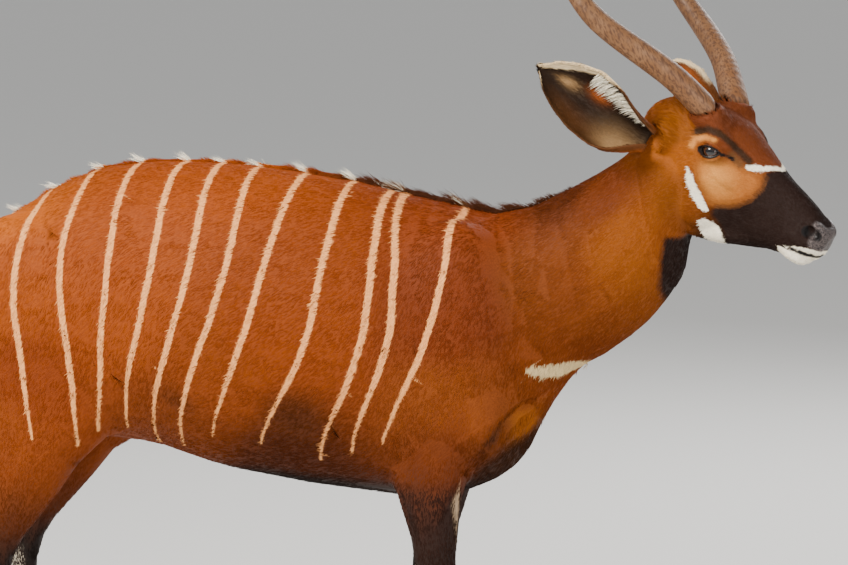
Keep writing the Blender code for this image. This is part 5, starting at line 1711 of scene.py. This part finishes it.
def grow_stripe_locks():
    """A pointed white lock where each stripe meets the spine."""
    middle = np.repeat([stations[0] for stations in STRIPES], LOCK_STRANDS)
    count = len(middle)
    offset = random.normal(0.0, 0.5, count).clip(-1.0, 1.0)
    x = middle + offset * LOCK_HALF
    y = random.normal(0.0, 0.4, count).clip(-1.0, 1.0) * CREST_HALF * 0.8
    length = np.interp(middle, (-0.5, -0.1), LOCK_LENGTH) * random.uniform(0.55, 1.0, count)
    turn = np.sin(middle * 57.0) * 0.18
    ways = np.column_stack([-0.86 - offset * 0.14, y / CREST_HALF * 0.20, 0.42 + turn])
    droop = np.tile((-0.12, 0.0, -0.06), (count, 1))
    colours = np.tile(WHITE_HAIR, (count, 1))
    chart = crest_chart(x, y)
    grow_long("coat_stripe_locks", on_spine(x, y), ways, droop, length, LOCK_WIDTH, colours, chart, 0.13)


grow_crest()
grow_stripe_locks()

# %% Hair of the tail
TAIL_TUFTS = 7000
BRUSH_STRANDS = 2400
BRUSH_DARK = (0.020, 0.012, 0.009)
TAIL_RED = (0.330, 0.090, 0.014)
TAIL_WIDTH = 0.0022
TAIL_LIFT = 0.22
BRUSH_WIDTH = 0.0020


def grow_tail():
    """Short hair down the whole tail and a brush of long strands below its middle."""
    share, turn = random.random(TAIL_TUFTS), random.uniform(-math.pi, math.pi, TAIL_TUFTS)
    middle, radius = tail_place(share)
    ahead = unit(tail_place(share + 0.01)[0] - tail_place(share - 0.01)[0])
    side = np.tile((0.0, 1.0, 0.0), (TAIL_TUFTS, 1))
    back = np.cross(side, ahead)
    out = side * np.sin(turn)[:, None] + back * np.cos(turn)[:, None]
    roots = middle + out * radius[:, None]
    low = smooth_between(0.25, 0.60, share)
    colours = paint(np.tile(TAIL_RED, (TAIL_TUFTS, 1)), low, BRUSH_DARK)
    unwrap = np.column_stack([CHART_START + share * CHART_SPAN, 0.5 + turn / math.pi * 0.46])
    width, lift = np.full(TAIL_TUFTS, TAIL_WIDTH), np.full(TAIL_TUFTS, TAIL_LIFT)
    grow("coat_tail", roots, out, ahead, 0.020 + low * 0.012, width, lift, colours, unwrap)
    few = share[:BRUSH_STRANDS] * 0.62 + 0.38
    middle, radius = tail_place(few)
    chosen = out[:BRUSH_STRANDS]
    roots = middle + chosen * (radius * 0.7)[:, None]
    ways = chosen * 0.34 + np.array((0.0, 0.0, -1.0))
    droop = chosen * -0.20 + np.array((0.0, 0.0, -0.12))
    length = 0.045 + 0.085 * smooth_between(0.4, 0.95, few)
    colours = np.tile(BRUSH_DARK, (BRUSH_STRANDS, 1))
    unwrap = np.column_stack([CHART_START + few * CHART_SPAN, unwrap[:BRUSH_STRANDS, 1]])
    grow_long("coat_brush", roots, ways, droop, length, BRUSH_WIDTH, colours, unwrap)


grow_tail()

# %% Hair of the ears
EAR_TUFTS = 9000
EAR_RIM_STRANDS = 1200
EAR_INNER_STRANDS = 420
EAR_TUFT_WIDTH = 0.0011
EAR_RIM_WIDTH = 0.0009
EAR_INSIDE_WIDTH = 0.0011


def ear_chart(share, turn, inner):
    """Unwrap of the ear: its back on one half of the map and its cup on the other."""
    return np.column_stack([0.02 + share * 0.46 + np.where(inner, 0.50, 0.0), 0.5 + turn * 0.46])


def grow_ear(name):
    """Short hair on both sides of the ear, a fringe on its rims and long hair inside."""
    share = random.random(EAR_TUFTS) ** 0.85
    turn = random.uniform(-0.985, 0.985, EAR_TUFTS)
    inner = random.random(EAR_TUFTS) < 0.45
    out, ahead = ear_out(name, share, turn)
    facing = np.where(inner, -1.0, 1.0)
    roots = ear_points(name, share, turn) + out * (facing * EAR_WALL * 0.5)[:, None]
    length, lift = np.where(inner, 0.0120, 0.0080), np.where(inner, 0.16, 0.08)
    width = np.full(EAR_TUFTS, EAR_TUFT_WIDTH)
    grow("coat_ear_" + name, roots, out * facing[:, None], ahead, length, width, lift,
         ear_tone(share, turn, inner), ear_chart(share, turn, inner))
    grow_ear_rim(name)
    grow_ear_inside(name)


def grow_ear_rim(name):
    """A fringe along both rims, cream above and dark below."""
    share = random.uniform(0.10, 0.985, EAR_RIM_STRANDS)
    above = random.random(EAR_RIM_STRANDS) < 0.60
    rim = np.where(above, 1.0, -1.0) * random.uniform(0.92, 1.0, EAR_RIM_STRANDS)
    out, ahead = ear_out(name, share, rim)
    around = ear_points(name, share, rim) - ear_points(name, share, rim - np.sign(rim) * 0.05)
    ways = unit(around) * 0.30 + ahead * 0.90 - out * 0.30
    length = np.where(rim > 0.0, 0.010 + 0.006 * smooth_between(0.5, 0.9, share), 0.008)
    dark = np.maximum((rim < 0.0) * smooth_between(0.97, 0.88, share), smooth_between(0.50, 0.40, share))
    colours = paint(np.tile(EAR_CREAM, (EAR_RIM_STRANDS, 1)), dark, EAR_BROWN)
    roots, droop = ear_points(name, share, rim), np.zeros((EAR_RIM_STRANDS, 3))
    chart = ear_chart(share, rim, False)
    grow_long("coat_ear_rim_" + name, roots, ways, droop, length, EAR_RIM_WIDTH, colours, chart, 0.10)


def grow_ear_inside(name):
    """Long white hair that hangs from the front rim into the cup."""
    share = random.uniform(0.07, 0.60, EAR_INNER_STRANDS)
    turn = random.uniform(0.62, 0.94, EAR_INNER_STRANDS)
    out, ahead = ear_out(name, share, turn)
    inward = ear_points(name, share, turn - 0.10) - ear_points(name, share, turn)
    ways = unit(inward) * 0.75 + ahead * 0.35 - out * 0.55
    droop = unit(inward) * 0.15 + out * 0.12
    length = 0.020 + 0.012 * np.sin((share - 0.10) / 0.52 * math.pi)
    roots = ear_points(name, share, turn) - out * 0.0015
    chart = ear_chart(share, turn, True)
    colours = np.tile(WHITE_HAIR, (EAR_INNER_STRANDS, 1))
    grow_long("coat_ear_inside_" + name, roots, ways, droop, length, EAR_INSIDE_WIDTH, colours, chart, 0.08)


for name in SIDES:
    grow_ear(name)

# %% [markdown]
# ## Eyes
# The eye is a glossy ball deep in the head. Its clear front bulges, and the iris and the long level pupil
# lie in the ball's own colours. A dark wet rim of lid follows the opening, and lashes stand on its upper
# half.

# %% Eyeballs, lid rims and lashes
EYE_RADIUS = 0.0205
EYE_GAZE = (0.10, 0.02, 1.00)
IRIS_HALF = 0.80
PUPIL_HALF = (0.46, 0.25)
EYE_BULGE = 0.055
RIM_GIRTH = 0.0013
RIM_STEPS = 72
RIM_SIDES = 8
RIM_BLACK = (0.010, 0.008, 0.007)
LASHES = 150
LASH_LENGTH = 0.0080
LASH_WIDTH = 0.00050
LID_TUFTS = 900
# length, width and lift of the lids' short hair
LID_TUFT = (0.0030, 0.0006, 0.12)
IRIS_BROWN = (0.046, 0.018, 0.008)
IRIS_DARK = (0.010, 0.005, 0.003)
PUPIL_BLACK = (0.002, 0.002, 0.003)
EYE_WHITE = (0.060, 0.038, 0.028)


def make_eye(name, side):
    """A ball with a bulging front, and the iris and pupil painted on it."""
    middle, gaze, ahead, rise = eye_axes(side, EYE_GAZE, LID_TILT)
    shape = bmesh.new()
    bmesh.ops.create_uvsphere(shape, u_segments=64, v_segments=40, radius=1.0)
    axes = Matrix((ahead, rise, gaze)).transposed()
    mesh_points = np.array([vert.co[:] for vert in shape.verts])
    slant = np.arccos(np.clip(mesh_points[:, 2], -1.0, 1.0))
    bulge = 1.0 + EYE_BULGE * smooth_between(0.75, 0.10, slant)
    for vert, swell in zip(shape.verts, bulge):
        vert.co = middle + axes @ (vert.co * EYE_RADIUS * float(swell))
    if axes.determinant() < 0.0:
        bmesh.ops.reverse_faces(shape, faces=shape.faces)
    piece = piece_from("eyeball_" + name, shape)
    tones = np.tile(EYE_WHITE, (len(mesh_points), 1))
    tones = paint(tones, smooth_between(IRIS_HALF + 0.05, IRIS_HALF, slant), IRIS_DARK)
    tones = paint(tones, smooth_between(IRIS_HALF - 0.05, IRIS_HALF - 0.18, slant), IRIS_BROWN)
    pupil = (mesh_points[:, 0] / PUPIL_HALF[0]) ** 2 + (mesh_points[:, 1] / PUPIL_HALF[1]) ** 2
    tones = paint(tones, smooth_between(1.15, 0.85, pupil) * (mesh_points[:, 2] > 0.0), PUPIL_BLACK)
    write_colours(piece.data, "eye_colour", tones)
    shade_smooth(piece)
    eye_finish.wear(piece)
    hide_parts("eye_" + name)
    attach(piece, "root")


def make_rim(name, side):
    """A thin closed tube along the lids' edge."""
    turns = np.linspace(0.0, 2.0 * math.pi, RIM_STEPS, endpoint=False)
    line = lid_points(side, turns, np.ones(len(turns)))
    shape = bmesh.new()
    loops = []
    for index, point in enumerate(line):
        ahead = line[(index + 1) % RIM_STEPS] - line[index - 1]
        loops.append(add_ring(shape, point, ahead, RIM_GIRTH, RIM_SIDES))
    for first, second in zip(loops, loops[1:] + loops[:1]):
        bmesh.ops.bridge_loops(shape, edges=first + second)
    bmesh.ops.recalc_face_normals(shape, faces=shape.faces)
    piece = piece_from("lid_rim_" + name, shape)
    shade_smooth(piece)
    rim_finish.wear(piece)
    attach(piece, "root")


def make_lashes(name, side):
    """Lashes of the upper lid, and short dark hair on both lids."""
    middle, gaze, _, rise = eye_axes(side, LID_FACING, LID_TILT)
    turns = random.uniform(0.10 * math.pi, 0.90 * math.pi, LASHES)
    roots = lid_points(side, turns, np.full(LASHES, 1.04))
    ways = unit(roots - np.array(middle)) + np.array(rise) * 0.15
    droop = np.tile(np.array(rise) * -0.40 + np.array(gaze) * 0.1, (LASHES, 1))
    chart = np.column_stack([CHART_START + turns / math.pi * CHART_SPAN, random.uniform(0.05, 0.20, LASHES)])
    length, colours = np.full(LASHES, LASH_LENGTH), np.tile(BLACK_HAIR, (LASHES, 1))
    grow_long("lashes_" + name, roots, ways, droop, length, LASH_WIDTH, colours, chart)
    turns = random.uniform(-math.pi, math.pi, LID_TUFTS)
    reach = random.uniform(1.12, LID_REACH - 0.1, LID_TUFTS)
    roots = lid_points(side, turns, reach)
    ways = lid_points(side, turns, reach + 0.05) - roots
    sizes = [np.full(LID_TUFTS, size) for size in LID_TUFT]
    chart = np.column_stack([0.5 + turns / math.pi * 0.47, reach / LID_REACH * 0.9])
    grow("coat_lid_" + name, roots, unit(roots - np.array(middle)), ways, *sizes, coat_colour(roots), chart)


eye_finish = Finish("eye", Roughness=0.06, Coat_Weight=0.6, Coat_Roughness=0.02, Specular_IOR_Level=0.4)
eye_finish.set(Base_Color=eye_finish.attribute("eye_colour"))
rim_finish = Finish("lid rim", Base_Color=RIM_BLACK, Roughness=0.28)
for name, side in SIDES.items():
    make_eye(name, side)
    make_rim(name, side)
    make_lashes(name, side)
print("eyes ready")

# %% [markdown]
# ## Horns and hooves
# Both are made of the same stuff as nails. The horns keep the solids' turn and keel, smoothed, with soft
# rings near the foot that fade towards the pale tip. The hooves are dark, with fine rings along the wall.

# %% Horns
HORN_SMOOTHING = 2
HORN_FOOT_MIDDLE = (-0.056, 0.039, 0.047)
HORN_LENGTH = 0.60
HORN_FLOW = (-0.42, 0.0, 0.90)
HORN_TONES = [
    (0.0, (0.150, 0.060, 0.022)), (0.20, (0.150, 0.066, 0.026)), (0.60, (0.120, 0.058, 0.026)),
    (0.88, (0.180, 0.105, 0.055)), (1.0, (0.600, 0.480, 0.320)),
]
HORN_WORN = (0.210, 0.110, 0.055)
HORN_DARK = (0.050, 0.022, 0.012)
SHARP_TURN = 0.6


def smooth_copy(name, levels, bevel=0.0):
    """A smooth piece in the shape of a solid."""
    shape = bmesh.new()
    shape.from_mesh(nodes[name].data)
    bmesh.ops.remove_doubles(shape, verts=shape.verts, dist=0.00002)
    bmesh.ops.join_triangles(shape, faces=shape.faces, angle_face_threshold=0.35, angle_shape_threshold=0.9)
    if bevel:
        sharp = [edge for edge in shape.edges if edge.calc_face_angle(0.0) > SHARP_TURN]
        bmesh.ops.bevel(shape, geom=sharp, offset=bevel, segments=2, profile=0.5, affect="EDGES", material=-1)
    piece = piece_from("smooth_" + name, shape)
    if levels:
        add_modifier(piece, "SUBSURF", levels=levels, render_levels=levels)
        use_modifiers(piece)
    shade_smooth(piece)
    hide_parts(name)
    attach(piece, "root")
    return piece


def horn_share(points, side):
    """0 at the foot of the horn and 1 at its tip."""
    forward, up, out = HORN_FOOT_MIDDLE
    foot = np.array(at_head(forward, up, out * side))
    return np.clip(np.linalg.norm(points - foot, axis=1) / HORN_LENGTH, 0.0, 1.0)


horn_finish = Finish("horn", Roughness=0.46, Specular_IOR_Level=0.20)
share = horn_finish.share("share")
fibre = horn_finish.combed(HORN_FLOW, 0.0035, 4.0)
blotch = horn_finish.noise(0.035)
rings = horn_finish.add("Math", {"operation": "SINE"}, {0: share * 230.0 + blotch * 7.0})
ridge = (rings * 0.5 + 0.5) * (1.0 - share.step(0.25, 0.75))
tone = horn_finish.add("ValToRGB", {"stops": HORN_TONES}, {"Fac": share})
worn = horn_finish.blend(blotch.step(0.40, 0.65) * 0.40, tone, HORN_WORN)
horn_finish.set(
    Base_Color=horn_finish.blend(fibre.step(0.44, 0.62) * 0.72, worn, HORN_DARK),
    Roughness=0.36 + fibre * 0.25,
    Normal=horn_finish.bump(ridge * 0.5 + fibre * 0.9, 0.0009, 0.9),
)
for name, side in SIDES.items():
    horn = smooth_copy("horn_" + name, HORN_SMOOTHING)
    shares = horn_share(read_points(horn.data), side)
    write_colours(horn.data, "share", np.repeat(shares[:, None], 3, axis=1))
    horn_finish.wear(horn)
    print(horn.name, len(horn.data.polygons), "faces")

# %% Hooves and dewclaws
HOOF_DARK = (0.016, 0.013, 0.012)
HOOF_SCUFFED = (0.060, 0.050, 0.043)
HOOF_BEVEL = 0.0012

hoof_finish = Finish("hoof", Specular_IOR_Level=0.45)
height = hoof_finish.add("SeparateXYZ", None, {0: hoof_finish.place()}, output=2)
waver = hoof_finish.noise(0.02)
growth = hoof_finish.add("Math", {"operation": "SINE"}, {0: height * 1500.0 + waver * 9.0})
scuff = hoof_finish.noise(0.004, detail=5.0, roughness=0.7)
hoof_finish.set(
    Base_Color=hoof_finish.blend(scuff.step(0.45, 0.75) * 0.7, HOOF_DARK, HOOF_SCUFFED),
    Roughness=0.36 + scuff * 0.25,
    Normal=hoof_finish.bump(growth * 0.5 + scuff, 0.0006, 0.8),
)
for name in sorted(nodes):
    if name.startswith(("hoof", "dewclaw")):
        hoof = smooth_copy(name, 0, HOOF_BEVEL)
        hoof_finish.wear(hoof)
print("horns and hooves ready")

# %% [markdown]
# ## Floor and light
# A pale floor reaches to the horizon, under an even pale sky. A broad soft lamp high on the camera's left
# shapes the body, a second one fills the shadows and a third lights the far side.

# %% Studio
FLOOR_HALF = 40.0
FLOOR_TONE = (0.620, 0.610, 0.590)
SKY_TONE = (0.860, 0.870, 0.880)
SKY_STRENGTH = 0.75


def make_floor():
    shape = bmesh.new()
    bmesh.ops.create_grid(shape, x_segments=1, y_segments=1, size=FLOOR_HALF)
    floor = piece_from("floor", shape)
    Finish("floor", Base_Color=FLOOR_TONE, Roughness=0.85).wear(floor)


def add_lamp(name, place, power, size, tone=WHITE_TINT):
    """A square soft lamp that looks at the middle of the animal."""
    data = bpy.data.lights.new(name, "AREA")
    data.energy = power
    data.size = size
    data.color = tone
    lamp = bpy.data.objects.new(name, data)
    turn = (at_body(-0.2, 0.0, 0.9) - Vector(place)).to_track_quat("-Z", "Y").to_matrix().to_4x4()
    lamp.matrix_world = Matrix.Translation(place) @ turn
    bpy.context.scene.collection.objects.link(lamp)


make_floor()
add_lamp("key", (-2.6, -4.0, 4.6), 720.0, 2.4, (1.0, 0.96, 0.90))
add_lamp("fill", (4.2, -3.4, 2.4), 230.0, 3.0, (1.0, 0.98, 0.96))
add_lamp("far", (1.0, 4.6, 3.6), 240.0, 3.0)
sky = bpy.data.worlds.new("sky")
sky.use_nodes = True
background = sky.node_tree.nodes["Background"]
background.inputs["Color"].default_value = (*SKY_TONE, 1.0)
background.inputs["Strength"].default_value = SKY_STRENGTH
bpy.context.scene.world = sky
print("studio ready")
